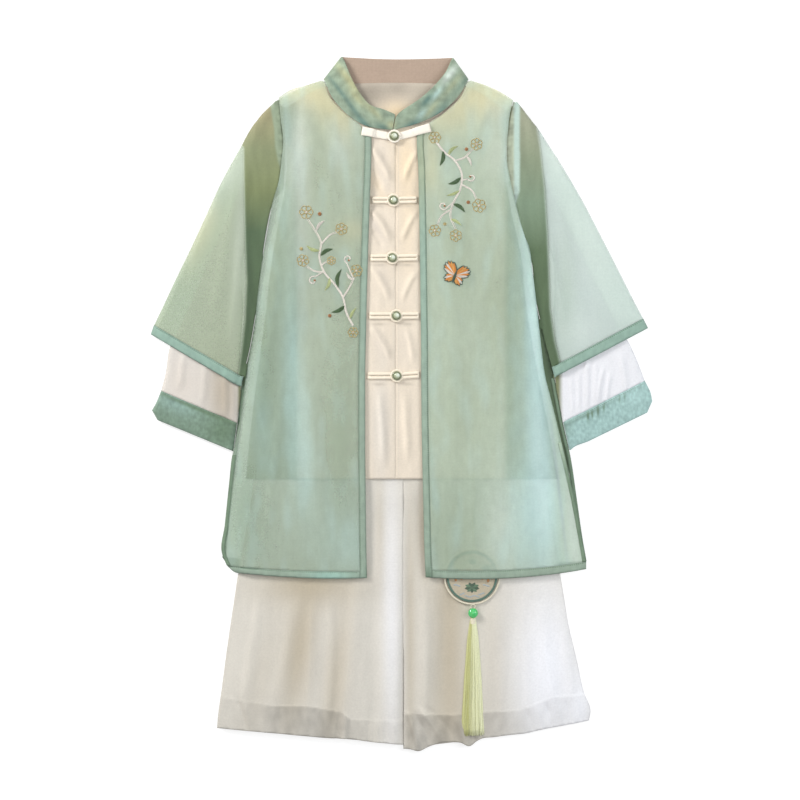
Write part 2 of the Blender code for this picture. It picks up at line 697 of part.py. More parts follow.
def collar(finish, collection):
    """The stand collar: one band that lies on the neckline in front, folds at both sides of the
    neck and lies under the neck opening behind."""
    grid = []
    for seam_x, seam_y, top_x, top_y, seam_z, top_z in COLLAR:
        bulge = COLLAR_BULGE if seam_z > COLLAR_STANDS else 0.0
        middle = (0.5 * (seam_x + top_x), 0.5 * (seam_y + top_y), 0.5 * (seam_z + top_z) + bulge)
        grid.append([(seam_x, seam_y, seam_z), middle, (top_x, top_y, top_z)])
    add_grid("robe_collar", grid, finish, collection, COLLAR_WALL, 1)


def shirt_body(cloth, collection):
    """The shirt's back and its two fronts."""
    back = refined(SHIRT_BACK, BACK_ROWS)
    add_panel("shirt_back", back, [0.0] * len(back), (), BACK_COUNT, shirt_back_height, cloth,
              collection, both_sides=True)
    for side, rows in (("right", SHIRT_FRONT_RIGHT), ("left", SHIRT_FRONT_LEFT)):
        body = refined(rows, SHIRT_ROWS)
        add_panel(f"shirt_front_{side}", body, [0.0] * len(body), SHIRT_STEPS,
                  SHIRT_COUNT, shirt_front_height, cloth, collection)


def trousers(cloth, collection):
    """Four leg panels and the waistband."""
    for side, rows in (("right", LEG_RIGHT), ("left", LEG_LEFT)):
        body = refined(rows, LEG_ROWS)
        add_leg_front(f"trousers_front_{side}", body, cloth, collection)
        add_panel(f"trousers_back_{side}", body, [0.0] * len(body), (), LEG_BACK_COUNT,
                  trousers_back_height, cloth, collection, both_sides=True)
    low, high = WAISTBAND
    base = 2.0 * LAYER
    top = base + LAYER + WALL
    half = WAISTBAND_HALF
    rows = ((-half, high, half, high, base, top), (-half, low, half, low, base, top))
    add_sleeve("trousers_waistband", rows, flat_tube_line, cloth, collection, WALL, False,
               closed=True)


def add_leg_front(name, rows, cloth, collection):
    """A leg's front panel, which rolls down to the side seam and, below the crotch, to the
    inner seam."""
    grid = []
    for row in rows:
        width = section_width(row)
        line = []
        for inward in leg_steps(width):
            x, y = section_point(row, inward)
            inner = ease((width - inward) / LEG_INNER_ROLL)
            roll = inner + (1.0 - inner) * (1.0 - below(y, CROTCH, CROTCH_RUN))
            low = trousers_back_height(x, y, inward) + LAYER
            z = low + roll * (trousers_front_height(x, y, inward) - low)
            line.append((x, y, z))
        if line[0][0] > line[-1][0]:
            line.reverse()
        grid.append(line)
    add_grid(name, grid, cloth, collection, WALL, 1)


def leg_steps(width):
    """Distances across a leg: close over both rolled edges, even between them."""
    start, end = LEG_STEPS[-1], width - LEG_SEAM_STEP
    even = [start + (end - start) * (i + 1) / LEG_COUNT for i in range(LEG_COUNT)]
    return list(LEG_STEPS) + even + [width]


def add_primitive(name, finish, collection, build):
    """An object from a bmesh that build fills, in metres."""
    mesh = bpy.data.meshes.new(name)
    shape = bmesh.new()
    build(shape)
    bmesh.ops.recalc_face_normals(shape, faces=shape.faces)
    shape.to_mesh(mesh)
    shape.free()
    mesh.shade_smooth()
    mesh.materials.append(finish)
    made = bpy.data.objects.new(name, mesh)
    collection.objects.link(made)
    return made


def frogs(strap, button, collection):
    """Five frogs: on each a strap to either side of a round button."""
    for number, (x, y, right_x, right_y, left_x, left_y) in enumerate(FROGS, 1):
        on_robe = number == 1
        if on_robe:
            base = 3.0 * LAYER + BINDING_WALL + 2.0 * SEAM_GAP
        else:
            base = shirt_front_height(x, y, INSIDE) + WALL + SEAM_GAP
        ends = (("right", right_x, right_y, -1.0), ("left", left_x, left_y, 1.0))
        for side, end_x, end_y, away in ends:
            near_x = x + away * (BUTTON_RADIUS + SEAM_GAP)
            grid = []
            for across in (0.5, 0.0, -0.5):
                offset = across * STRAP_WIDTH
                line = [(end_x, end_y + offset, base), (near_x, y + offset, base)]
                if line[0][0] > line[1][0]:
                    line.reverse()
                grid.append(line)
            add_grid(f"frog_{number}_strap_{side}", grid, strap, collection, STRAP_WALL, 1)

        def ball(shape, x=x, y=y, base=base):
            bmesh.ops.create_uvsphere(shape, u_segments=12, v_segments=7, radius=1.0)
            for vert in shape.verts:
                vert.co.x = (x + vert.co.x * BUTTON_RADIUS) * MM
                vert.co.y = (y + vert.co.y * BUTTON_RADIUS) * MM
                vert.co.z = (base + (1.0 + vert.co.z) * 0.5 * BUTTON_THICK) * MM

        add_primitive(f"frog_{number}_button", button, collection, ball)


def charm(finishes, collection):
    """The waist charm: cord, disc with a piped rim, bead and tassel."""
    cord_finish, disc_finish, rim_finish, bead_finish, tassel_finish = finishes
    disc_z = charm_base()

    def disc(shape):
        bmesh.ops.create_cone(shape, cap_ends=True, segments=32, radius1=DISC_RADIUS * MM,
                              radius2=DISC_RADIUS * MM, depth=DISC_WALL * MM)
        for vert in shape.verts:
            vert.co += Vector((CHARM_X, CHARM_Y, disc_z + 0.5 * DISC_WALL)) * MM

    add_primitive("charm_disc", disc_finish, collection, disc)

    major = DISC_RADIUS + SEAM_GAP + RIM_RADIUS
    bpy.ops.mesh.primitive_torus_add(major_segments=32, minor_segments=6,
                                     major_radius=major * MM, minor_radius=RIM_RADIUS * MM)
    rim = bpy.context.object
    rim.name = "charm_rim"
    rim.location = Vector((CHARM_X, CHARM_Y, disc_z + RIM_RADIUS)) * MM
    rim.data.materials.append(rim_finish)
    move_to(rim, collection)

    bead_z = trousers_front_height(CHARM_X, BEAD_Y, INSIDE) + WALL + BEAD_CLEAR

    def bead(shape):
        bmesh.ops.create_uvsphere(shape, u_segments=14, v_segments=8, radius=BEAD_RADIUS * MM)
        for vert in shape.verts:
            vert.co.z *= BEAD_FLATNESS
            centre = (CHARM_X + BEAD_SHIFT, BEAD_Y, bead_z + BEAD_FLATNESS * BEAD_RADIUS)
            vert.co += Vector(centre) * MM

    add_primitive("charm_bead", bead_finish, collection, bead)
    tassel(tassel_finish, collection)
    cord(cord_finish, collection)


def charm_base():
    """Height of the charm's underside, just clear of the trousers' highest fold beneath it."""
    highest = 0.0
    for step_x in range(-3, 4):
        for step_y in range(-3, 4):
            x = CHARM_X + step_x * DISC_RADIUS / 3.0
            y = CHARM_Y + step_y * DISC_RADIUS / 3.0
            if math.hypot(x - CHARM_X, y - CHARM_Y) < DISC_RADIUS + RIM_RADIUS:
                highest = max(highest, trousers_front_height(x, y, INSIDE))
    return highest + WALL + LAYER_GAP


def tassel(finish, collection):
    """The tassel's silk skirt, one solid of its reach that lies on the trousers."""
    grid = []
    sides = TASSEL_SIDES
    for y, half in zip(TASSEL_Y, TASSEL_HALF):
        rest = max(trousers_front_height(CHARM_X + offset, y, INSIDE)
                   for offset in (-half, -0.5 * half, 0.0, 0.5 * half, half))
        base = rest + WALL + LAYER_GAP
        thick = min(TASSEL_THICK, 1.6 * half)
        line = []
        for side in range(sides):
            angle = 2.0 * math.pi * side / sides
            x = CHARM_X + BEAD_SHIFT + half * math.cos(angle)
            z = base + 0.5 * thick * (1.0 - math.sin(angle))
            line.append((x, y, z))
        grid.append(line)
    points = [point for line in grid for point in line]
    faces = []
    for row in range(len(grid) - 1):
        for side in range(sides):
            a = row * sides + side
            b = row * sides + (side + 1) % sides
            faces.append((a, b, b + sides, a + sides))
    faces.append(tuple(reversed(range(sides))))
    last = (len(grid) - 1) * sides
    faces.append(tuple(range(last, last + sides)))
    made = add_mesh("charm_tassel", points, faces, finish, collection)
    shape = bmesh.new()
    shape.from_mesh(made.data)
    bmesh.ops.recalc_face_normals(shape, faces=shape.faces)
    shape.to_mesh(made.data)
    shape.free()


def cord(finish, collection):
    """The charm's cord, from under the shirt's hem down the trousers to the disc."""
    low = CHARM_Y + DISC_RADIUS + 2.0 * (RIM_RADIUS + SEAM_GAP)
    path = bpy.data.curves.new("charm_cord", "CURVE")
    path.dimensions = "3D"
    path.bevel_depth = 0.5 * CORD_DIAMETER * MM
    path.bevel_resolution = 2
    path.use_fill_caps = True
    spline = path.splines.new("POLY")
    spline.points.add(CORD_POINTS - 1)
    for i in range(CORD_POINTS):
        t = i / (CORD_POINTS - 1)
        y = CORD_TOP_Y + t * (low - CORD_TOP_Y)
        x = CHARM_X + CORD_SHIFT + CORD_SWAY * math.sin(CORD_WAVES * 2.0 * math.pi * t)
        lying = trousers_front_height(x, y, INSIDE) + WALL + CORD_CLEAR + 0.5 * CORD_DIAMETER
        z = min(CORD_TOP_Z, lying) if t < 0.5 else lying
        spline.points[i].co = (x * MM, y * MM, z * MM, 1.0)
    path.materials.append(finish)
    made = bpy.data.objects.new("charm_cord", path)
    collection.objects.link(made)


def move_to(made, collection):
    for owner in made.users_collection:
        owner.objects.unlink(made)
    collection.objects.link(made)


def main():
    for old in list(bpy.data.objects):
        bpy.data.objects.remove(old, do_unlink=True)
    collection = bpy.data.collections.new("hanfu_set")
    bpy.context.scene.collection.children.link(collection)

    sheer = material("robe_sheer", (0.38, 0.52, 0.42), 0.6)
    binding = material("robe_binding", (0.17, 0.33, 0.27), 0.7)
    shirt = material("shirt_cotton", (0.86, 0.80, 0.72), 0.85)
    cuff = material("cuff_green", (0.24, 0.42, 0.35), 0.75)
    white = material("trouser_cotton", (0.82, 0.79, 0.74), 0.8)
    strap = material("frog_satin", (0.90, 0.84, 0.74), 0.45)
    button = material("button_pearl", (0.42, 0.48, 0.38), 0.2)
    charm_finishes = (
        material("charm_cord", (0.70, 0.75, 0.45), 0.6),
        material("charm_disc", (0.55, 0.55, 0.40), 0.7),
        material("charm_piping", (0.80, 0.76, 0.62), 0.6),
        material("charm_bead", (0.10, 0.60, 0.22), 0.15),
        material("charm_silk", (0.66, 0.68, 0.36), 0.5),
    )

    robe_back(sheer, binding, collection)
    robe_front("right", ROBE_FRONT_RIGHT, sheer, binding, collection)
    robe_front("left", ROBE_FRONT_LEFT, sheer, binding, collection)
    sleeves(sheer, binding, shirt, cuff, collection)
    collar(binding, collection)
    shirt_body(shirt, collection)
    trousers(white, collection)
    frogs(strap, button, collection)
    charm(charm_finishes, collection)


main()
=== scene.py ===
"""The looks of a child's hanfu set laid flat: a sheer open over-robe with bound edges, a white
shirt with frog buttons, wide-leg trousers and a waist charm.

Every cloth piece is a thin shell on its CAD solid's own form. The outline and the heights are read
from the frame, and the creases are then added from the tables. Sizes in the tables are in
millimetres.
"""
import math
import random
from collections import namedtuple

import bmesh
import bpy
import numpy as np
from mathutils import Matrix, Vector, noise
from mathutils.bvhtree import BVHTree
from mathutils.geometry import delaunay_2d_cdt
from mathutils.kdtree import KDTree


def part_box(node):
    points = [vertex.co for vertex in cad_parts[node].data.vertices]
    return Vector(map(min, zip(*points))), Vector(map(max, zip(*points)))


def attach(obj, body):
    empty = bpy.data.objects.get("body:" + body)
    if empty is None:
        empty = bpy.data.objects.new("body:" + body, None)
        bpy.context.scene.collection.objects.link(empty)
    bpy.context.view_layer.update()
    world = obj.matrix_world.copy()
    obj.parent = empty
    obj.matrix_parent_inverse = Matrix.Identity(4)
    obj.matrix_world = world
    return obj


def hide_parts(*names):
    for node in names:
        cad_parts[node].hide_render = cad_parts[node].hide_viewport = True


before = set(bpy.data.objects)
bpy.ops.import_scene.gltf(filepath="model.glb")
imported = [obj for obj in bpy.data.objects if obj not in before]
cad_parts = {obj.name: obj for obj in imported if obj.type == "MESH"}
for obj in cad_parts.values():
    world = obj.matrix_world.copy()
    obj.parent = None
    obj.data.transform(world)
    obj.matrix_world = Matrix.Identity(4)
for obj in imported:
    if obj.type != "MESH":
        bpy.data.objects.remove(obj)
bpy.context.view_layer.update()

MM = 0.001
UP = Vector((0.0, 0.0, 1.0))

# ---------------------------------------------------------------------------------------------
# Camera
# ---------------------------------------------------------------------------------------------
LENS = 85.0
SENSOR = 36.0
FRAME_WIDTH = 0.960       # what the picture is wide, at the cloth
AIM = (-0.0018, 0.0030)   # the point in the middle of the picture
CLOTH_TOP = 0.007


def add_camera():
    data = bpy.data.cameras.new("camera")
    data.lens = LENS
    data.sensor_width = SENSOR
    made = bpy.data.objects.new("camera", data)
    bpy.context.scene.collection.objects.link(made)
    made.location = (*AIM, CLOTH_TOP + FRAME_WIDTH * LENS / SENSOR)
    bpy.context.scene.camera = made


add_camera()

# ---------------------------------------------------------------------------------------------
# Colours in linear values. Many of them are painted light and shade, as noted beside them
# ---------------------------------------------------------------------------------------------
# Lit and shaded copies of one mint: the wearer's left front and sleeve are painted lighter, as lit
# from that side, and the right ones darker
MINT_LEFT = (0.520, 0.650, 0.525)         # the wearer's left, towards the light
MINT_RIGHT = (0.445, 0.560, 0.445)
MINT_BACK = (0.420, 0.540, 0.410)
MINT_SLEEVE_LEFT = (0.630, 0.740, 0.690)
MINT_SLEEVE_RIGHT = (0.450, 0.540, 0.390)
# AQUA, PALE and AQUA_BRIGHT are used as painted highlights, STRAW as painted warm light on the
# shoulders, SAGE and MOSS as painted shade in the folds and by the edges. AQUA also tints the sheer
# cloth's random clouds
AQUA = (0.600, 0.860, 0.860)
PALE = (0.800, 0.890, 0.830)
STRAW = (0.780, 0.740, 0.460)
SAGE = (0.370, 0.470, 0.330)
MOSS = (0.330, 0.450, 0.330)
AQUA_BRIGHT = (0.720, 0.950, 0.950)
# Painted shade: the deep troughs beside the body, and the shirt under them
TROUGH_DEEP = (0.102, 0.158, 0.085)
UNDER_SHADE = (0.200, 0.220, 0.120)
SEAM_RIGHT = (0.325, 0.400, 0.280)
# SEAM_LEFT is the pale strip of the left armhole seam, a painted highlight
SEAM_LEFT = (0.530, 0.680, 0.610)
SEAM_CLOTH_LEFT = (0.500, 0.560, 0.420)
BLUE_GREY = (0.400, 0.500, 0.560)
BINDING = (0.290, 0.375, 0.300)
BINDING_DEEP = (0.110, 0.180, 0.120)
BINDING_LIGHT = (0.330, 0.520, 0.450)
BINDING_SLIT = (0.180, 0.260, 0.180)
SLIT_TOP = (0.420, 0.540, 0.420)
BINDING_SLEEVE = (0.270, 0.400, 0.335)
COLLAR = (0.280, 0.355, 0.265)
# TEAL is painted shade along the collar's folds and lower edges, KHAKI a painted warm sheen on the
# collar and by the neck
TEAL = (0.090, 0.180, 0.165)
KHAKI = (0.430, 0.420, 0.230)
# TAUPE is painted shade inside the back of the collar
TAUPE = (0.413, 0.314, 0.246)
CREAM = (0.740, 0.655, 0.545)
WARM = (0.800, 0.640, 0.430)
# LILAC, GREY and GREY_NECK are painted shade: in the shirt's folds and slits, under the frogs,
# inside the neck and on the right shirt sleeve
LILAC = (0.640, 0.575, 0.510)
GREY = (0.440, 0.390, 0.320)
GREY_NECK = (0.330, 0.290, 0.240)
# SNOW is painted light on the trousers' lit folds and side, SAND painted shade in their folds and
# under the robe's hem
SNOW = (0.860, 0.870, 0.920)
SNOW_SHADE = (0.760, 0.765, 0.800)
SNOW_CREAM = (0.640, 0.620, 0.590)
IVORY = (0.655, 0.625, 0.565)
SAND = (0.480, 0.420, 0.320)
CUFF = (0.185, 0.268, 0.205)
# CUFF_LIGHT is the left cuff's base, painted lighter as lit from that side, and a painted light end
# of the right cuff. CUFF_DARK is painted shade in the gathers and a dark end, and also a thread
# colour
CUFF_LIGHT = (0.330, 0.490, 0.470)
CUFF_DARK = (0.110, 0.175, 0.105)
SATIN = (0.860, 0.770, 0.630)
SATIN_WHITE = (0.900, 0.840, 0.740)
WHITE_SILK = (0.860, 0.800, 0.720)
GOLD_SILK = (0.600, 0.480, 0.200)
LEAF_SILK = (0.060, 0.130, 0.040)
LIME_SILK = (0.540, 0.620, 0.280)
ORANGE_SILK = (0.860, 0.300, 0.035)
AMBER_SILK = (0.860, 0.420, 0.100)
RUST_SILK = (0.420, 0.170, 0.050)
FOREST_SILK = (0.050, 0.110, 0.075)
TASSEL_SILK = (0.560, 0.560, 0.220)
TASSEL_PALE = (0.860, 0.880, 0.600)
TEAL_SILK = (0.120, 0.230, 0.180)
BUD_SILK = (0.700, 0.330, 0.130)
WATER_SILK = (0.480, 0.540, 0.560)
LINEN_SILK = (0.660, 0.580, 0.430)
PIPING_SILK = (0.780, 0.720, 0.570)
BEAD_GREEN = (0.085, 0.560, 0.170)

# ---------------------------------------------------------------------------------------------
# Numbers on arrays
# ---------------------------------------------------------------------------------------------


def ease(t):
    """Smooth step from 0 to 1."""
    t = np.clip(t, 0.0, 1.0)
    return t * t * (3.0 - 2.0 * t)


# A crease runs from (x1, y1) to (x2, y2) with its middle moved sideways by bend. left and right
# are its half widths on either side, as seen looking at it with its start at the top. A trough
# has a negative height.
Crease = namedtuple("Crease", "x1 y1 x2 y2 bend left right height")


def crease_table(*rows):
    """Creases from rows that list their values in order."""
    return tuple(Crease(*row) for row in rows)


# A tint is an oval patch of colour: its middle, its half sizes, its turn in degrees
Tint = namedtuple("Tint", "x y half_x half_y turn colour strength")


def tint_table(*rows):
    """Tints from rows that list their values in order."""
    return tuple(Tint(*row) for row in rows)


def relief(creases, x, y):
    """Height of a set of creases at the points x, y."""
    total = np.zeros_like(x)
    for crease in creases:
        run_x = crease.x2 - crease.x1
        run_y = crease.y2 - crease.y1
        length = math.hypot(run_x, run_y)
        along = ((x - crease.x1) * run_x + (y - crease.y1) * run_y) / length ** 2
        across = ((y - crease.y1) * run_x - (x - crease.x1) * run_y) / length
        across = across - 4.0 * crease.bend * along * (1.0 - along)
        width = np.where(across < 0.0, crease.left, crease.right)
        ends = ease(along / 0.3) * ease((1.0 - along) / 0.3)
        total += crease.height * ends * np.exp(-(across / width) ** 2)
    return total


def tinted(base, tints, x, y):
    """The colour of each point: the base colour with each tint mixed over it."""
    colour = np.tile(np.array(base), (len(x), 1))
    for tint in tints:
        turn = math.radians(tint.turn)
        u = (x - tint.x) * math.cos(turn) + (y - tint.y) * math.sin(turn)
        v = (y - tint.y) * math.cos(turn) - (x - tint.x) * math.sin(turn)
        share = tint.strength * np.exp(-(u / tint.half_x) ** 2 - (v / tint.half_y) ** 2)
        colour += (np.array(tint.colour) - colour) * share[:, None]
    return colour


def ripple(x, y, size_x, size_y, seed):
    """Soft random waves, with the given size along each axis, between about -1 and 1."""
    offset = seed * 17.0
    return np.array([
        noise.noise(Vector((a / size_x + offset, b / size_y, seed * 3.1)))
        for a, b in zip(x, y)
    ])


# ---------------------------------------------------------------------------------------------
# Fine cloth on a CAD node's form
# ---------------------------------------------------------------------------------------------


def joined_shape(node):
    """A CAD node's mesh in millimetres, with its split corners joined."""
    shape = bmesh.new()
    shape.from_mesh(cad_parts[node].data)
    bmesh.ops.scale(shape, vec=(1.0 / MM,) * 3, verts=shape.verts)
    bmesh.ops.remove_doubles(shape, verts=shape.verts, dist=0.002)
    return shape


def seen_faces(shape, up):
    """The faces seen from straight above (up 1) or from straight below (up -1)."""
    tree = BVHTree.FromBMesh(shape)
    seen = []
    for face in shape.faces:
        if face.normal.z * up < 0.12:
            continue
        start = face.calc_center_median() + 0.01 * up * UP
        if tree.ray_cast(start, up * UP)[0] is None:
            seen.append(face)
    return seen


def outline_of(faces):
    """The longest loop of edges around some faces, as points (n, 2)."""
    inside = set(faces)
    following = {}
    for face in faces:
        for loop in face.loops:
            others = [f for f in loop.edge.link_faces if f is not face and f in inside]
            if not others:
                following.setdefault(loop.vert, []).append(loop.link_loop_next.vert)
    loops = []
    while following:
        start = next(iter(following))
        path = [start]
        while path[-1] in following:
            ahead = following[path[-1]]
            path.append(ahead.pop())
            if not ahead:
                del following[path[-2]]
            if path[-1] is start:
                break
        loops.append([(v.co.x, v.co.y) for v in path[:-1]])
    return np.array(max(loops, key=lambda loop: area_of(np.array(loop))))


def area_of(outline):
    after = np.roll(outline, -1, axis=0)
    return abs(float((outline[:, 0] * after[:, 1] - after[:, 0] * outline[:, 1]).sum()) / 2.0)


CORNER = math.radians(30.0)   # a sharper turn in an outline stays a corner


def smooth_outline(outline, spacing):
    """An even, smooth outline through the given one, with its corners kept."""
    points = [outline[0]]
    for point in outline[1:]:
        if np.linalg.norm(point - points[-1]) > 0.5:
            points.append(point)
    if np.linalg.norm(points[0] - points[-1]) <= 0.5:
        points.pop()
    points = np.array(points)
    before = points - np.roll(points, 1, axis=0)
    after = np.roll(points, -1, axis=0) - points
    turn = np.arctan2(before[:, 0] * after[:, 1] - before[:, 1] * after[:, 0],
                      (before * after).sum(1))
    corner = np.abs(turn) > CORNER
    before_length = np.linalg.norm(before, axis=1)[:, None]
    after_length = np.linalg.norm(after, axis=1)[:, None]
    tangent = before / before_length * after_length + after / after_length * before_length
    tangent /= np.linalg.norm(tangent, axis=1)[:, None] + 1e-9
    result = []
    for i in range(len(points)):
        j = (i + 1) % len(points)
        length = after_length[i, 0]
        straight = after[i] / length
        start = straight if corner[i] else tangent[i]
        end = straight if corner[j] else tangent[j]
        count = max(1, round(length / spacing))
        for k in range(count):
            t = k / count
            result.append(
                (2 * t ** 3 - 3 * t ** 2 + 1) * points[i]
                + (t ** 3 - 2 * t ** 2 + t) * length * start
                + (3 * t ** 2 - 2 * t ** 3) * points[j] + (t ** 3 - t ** 2) * length * end)
    return np.array(result)


def inside_outline(points, outline):
    inside = np.zeros(len(points), bool)
    for (x1, y1), (x2, y2) in zip(outline, np.roll(outline, -1, axis=0)):
        crosses = (y1 > points[:, 1]) != (y2 > points[:, 1])
        if crosses.any():
            at = x1 + (points[crosses, 1] - y1) * (x2 - x1) / (y2 - y1)
            inside[crosses] ^= points[crosses, 0] < at
    return inside


def distance_to_outline(points, outline):
    nearest = np.full(len(points), 1e9)
    for start, end in zip(outline, np.roll(outline, -1, axis=0)):
        run = end - start
        along = np.clip(((points - start) @ run) / max(run @ run, 1e-9), 0.0, 1.0)
        gap = points - start - along[:, None] * run
        nearest = np.minimum(nearest, (gap ** 2).sum(1))
    return np.sqrt(nearest)


def fill_outline(outline, spacing):
    """An even triangle mesh inside an outline: points (n, 2) and triangles."""
    low, high = outline.min(0), outline.max(0)
    rise = spacing * math.sqrt(3.0) / 2.0
    lattice = []
    for row, y in enumerate(np.arange(low[1] + 0.5 * rise, high[1], rise)):
        xs = np.arange(low[0] + 0.5 * spacing * (row % 2), high[0], spacing)
        lattice.append(np.column_stack((xs, np.full(len(xs), y))))
    lattice = np.concatenate(lattice)
    lattice = lattice[inside_outline(lattice, outline)]
    lattice = lattice[distance_to_outline(lattice, outline) > 0.6 * spacing]
    points = np.concatenate((outline, lattice))
    made = delaunay_2d_cdt([Vector(p) for p in points], [], [list(range(len(outline)))], 1, 1e-6)
    return np.array([tuple(p) for p in made[0]]), np.array(made[2])


def heights(shape_faces, points, up, inset):
    """Height of some faces of a CAD node above or below each point (n, 2)."""
    places = {}
    triangles = []
    for face in shape_faces:
        triangles.append([places.setdefault(v, len(places)) for v in face.verts])
    tree = BVHTree.FromPolygons([v.co for v in places], triangles)
    middle = points.mean(0)
    result = np.empty(len(points))
    for i, point in enumerate(points):
        start = Vector((point[0], point[1], 100.0 * up))
        hit = tree.ray_cast(start, -up * UP)[0]
        if hit is None:
            pull = Vector((*(middle - point), 0.0)).normalized() * inset
            hit = tree.ray_cast(start + pull, -up * UP)[0]
        if hit is None:
            hit = tree.find_nearest(Vector((point[0], point[1], 5.0)))[0]
        result[i] = hit.z
    return result


def relaxed(values, triangles, rim, rounds):
    """Values smoothed over a mesh. The rim is smoothed along itself only."""
    pairs = np.concatenate((triangles[:, [0, 1]], triangles[:, [1, 2]], triangles[:, [2, 0]]))
    pairs = np.unique(np.sort(pairs, axis=1), axis=0)
    both = rim[pairs[:, 0]] & rim[pairs[:, 1]]
    result = values.copy()
    for kept, place in ((pairs[both], rim), (pairs, ~rim)):
        ends = np.concatenate((kept, kept[:, ::-1]))
        ends = ends[place[ends[:, 0]]]
        count = np.maximum(np.bincount(ends[:, 0], minlength=len(values)), 1)
        for _ in range(rounds):
            total = np.bincount(ends[:, 0], weights=result[ends[:, 1]], minlength=len(values))
            result = np.where(place & (count > 1), 0.5 * result + 0.5 * total / count, result)
    return result


def rim_of(triangles, count):
    """Which points lie on the mesh's own edge."""
    edges = np.concatenate((triangles[:, [0, 1]], triangles[:, [1, 2]], triangles[:, [2, 0]]))
    found, uses = np.unique(np.sort(edges, axis=1), axis=0, return_counts=True)
    rim = np.zeros(count, bool)
    rim[found[uses == 1].ravel()] = True
    return rim


def sewn_outline(outline, neighbour, reach):
    """An outline with its points moved onto a neighbour's outline, or past it by a lap, where
    that is within reach."""
    tree = KDTree(len(neighbour))
    for i, (x, y) in enumerate(neighbour):
        tree.insert((x, y, 0.0), i)
    tree.balance()
    result = outline.copy()
    for i, (x, y) in enumerate(outline):
        place, _, distance = tree.find((x, y, 0.0))
        if distance < reach.distance:
            past = reach.lap * (np.array((place.x, place.y)) - outline[i]) / max(distance, 1e-6)
            result[i] = np.array((place.x, place.y)) + past
    return result


def side_surface(shape, up, spacing, rounds, neighbours=()):
    """One side of a CAD node as a fine mesh: points (n, 2), heights, triangles, which points are
    on its rim, and each point's distance to it."""
    faces = seen_faces(shape, up)
    outline = smooth_outline(outline_of(faces), spacing)
    for node, reach in neighbours:
        other = joined_shape(node)
        edge = smooth_outline(outline_of(seen_faces(other, up)), 0.5 * spacing)
        outline = sewn_outline(outline, edge, reach)
        other.free()
    flat, triangles = fill_outline(outline, spacing)
    rim = rim_of(triangles, len(flat))
    z = relaxed(heights(faces, flat, up, 0.4), triangles, rim, rounds)
    return flat, z, triangles, rim, distance_to_outline(flat, outline)


def add_object(name, points, faces, finish):
    """An object from points in millimetres, shaded smooth."""
    mesh = bpy.data.meshes.new(name)
    mesh.from_pydata(np.asarray(points) * MM, [], [tuple(map(int, f)) for f in faces])
    mesh.validate()
    mesh.shade_smooth()
    mesh.materials.append(finish)
    made = bpy.data.objects.new(name, mesh)
    bpy.context.scene.collection.objects.link(made)
    return made


def paint(made, colours):
    """Give each point of a mesh its own colour, which the materials read as tint."""
    layer = made.data.color_attributes.new("tint", "FLOAT_COLOR", "POINT")
    values = np.ones((len(colours), 4), np.float32)
    values[:, :3] = colours
    layer.data.foreach_set("color", values.ravel())


def thicken(made, wall):
    """Give a cloth surface its thickness, on its lower side."""
    solid = made.modifiers.new("Wall", "SOLIDIFY")
    solid.thickness = wall * MM
    solid.offset = -1.0


# ---------------------------------------------------------------------------------------------
# Creases and tints of each layer of the set
# ---------------------------------------------------------------------------------------------
TROUSER_CREASES = crease_table(
    (0, -90, 1, -418, 0, 20, 4, 1.4), (-33, -185, -36, -412, 2, 8, 8, -1.8),
    (-52, -200, -72, -412, 0, 6, 9, 2.2), (-88, -205, -92, -405, 6, 5, 6, 1.8),
    (-103, -214, -112, -404, -3, 4, 8, 2.0), (-124, -205, -158, -392, 4, 9, 12, 2.4),
    (-170, -205, -196, -388, 3, 5, 8, 1.5), (10, -100, 12, -412, 0, 4, 8, -0.9),
    (28, -190, 28, -404, 0, 5, 8, 2.4), (55, -215, 50, -400, -2, 9, 12, -2.6),
    (110, -205, 122, -402, 2, 7, 12, 2.0), (140, -215, 156, -400, 2, 5, 8, 1.0),
    (165, -205, 186, -392, -3, 8, 10, 1.8), (186, -215, 208, -372, 0, 5, 7, 1.2),
)
# Short folds and puckers at the trousers' hem
HEM_CREASES = crease_table(
    (-200, -352, -186, -396, 2, 2, 4, -1.8), (-190, -360, -184, -394, 1, 3, 3, 1.2),
    (-74, -365, -80, -416, 1, 3, 4, -1.8), (-66, -370, -70, -416, 1, 3, 3, 1.4),
    (-40, -378, -40, -418, 0, 2, 2, -1.0), (-30, -380, -28, -418, 0, 2, 2, 1.0),
    (-20, -378, -18, -418, 0, 2, 2, -1.0), (-9, -380, -8, -418, 0, 2, 2, 0.9),
    (4, -366, 22, -420, 2, 2.5, 3, 2.4), (10, -366, 38, -418, 3, 2.5, 3, -2.0),
    (16, -362, 50, -414, 4, 3, 3, 2.2), (24, -362, 64, -408, 4, 3, 4, -1.6),
    (60, -372, 80, -420, 3, 4, 4, 2.2), (74, -378, 92, -416, 2, 3, 3, -1.8),
    (112, -368, 122, -412, 1, 3, 4, -1.0), (146, -362, 160, -404, 2, 3, 3, -1.6),
    (158, -360, 170, -402, 2, 2, 3, 1.2), (172, -358, 182, -400, 2, 2, 2, -1.3),
    (184, -356, 194, -396, 1, 2, 2, 1.0), (196, -354, 204, -390, 1, 2, 2, -1.2),
    (208, -350, 214, -382, 1, 2, 2, 0.9),
)
# The hem's lower edge dips at x by drop, over half_width
HEM_DIPS = ((21, 9, -4.5), (50, 12, 2.5), (82, 8, -6.5), (100, 8, 1.0), (-60, 16, 1.5),
            (150, 14, -1.5))
# How much darker the doubled hem is at each x, from its two layers and from painted shade in its
# folds
HEM_SHADE = ((-215, 0.06), (-172, 0.10), (-152, 0.24), (-82, 0.26), (-54, 0.14), (-32, 0.05),
             (0, 0.05), (8, 0.26), (60, 0.26), (104, 0.20), (150, 0.10), (215, 0.05))
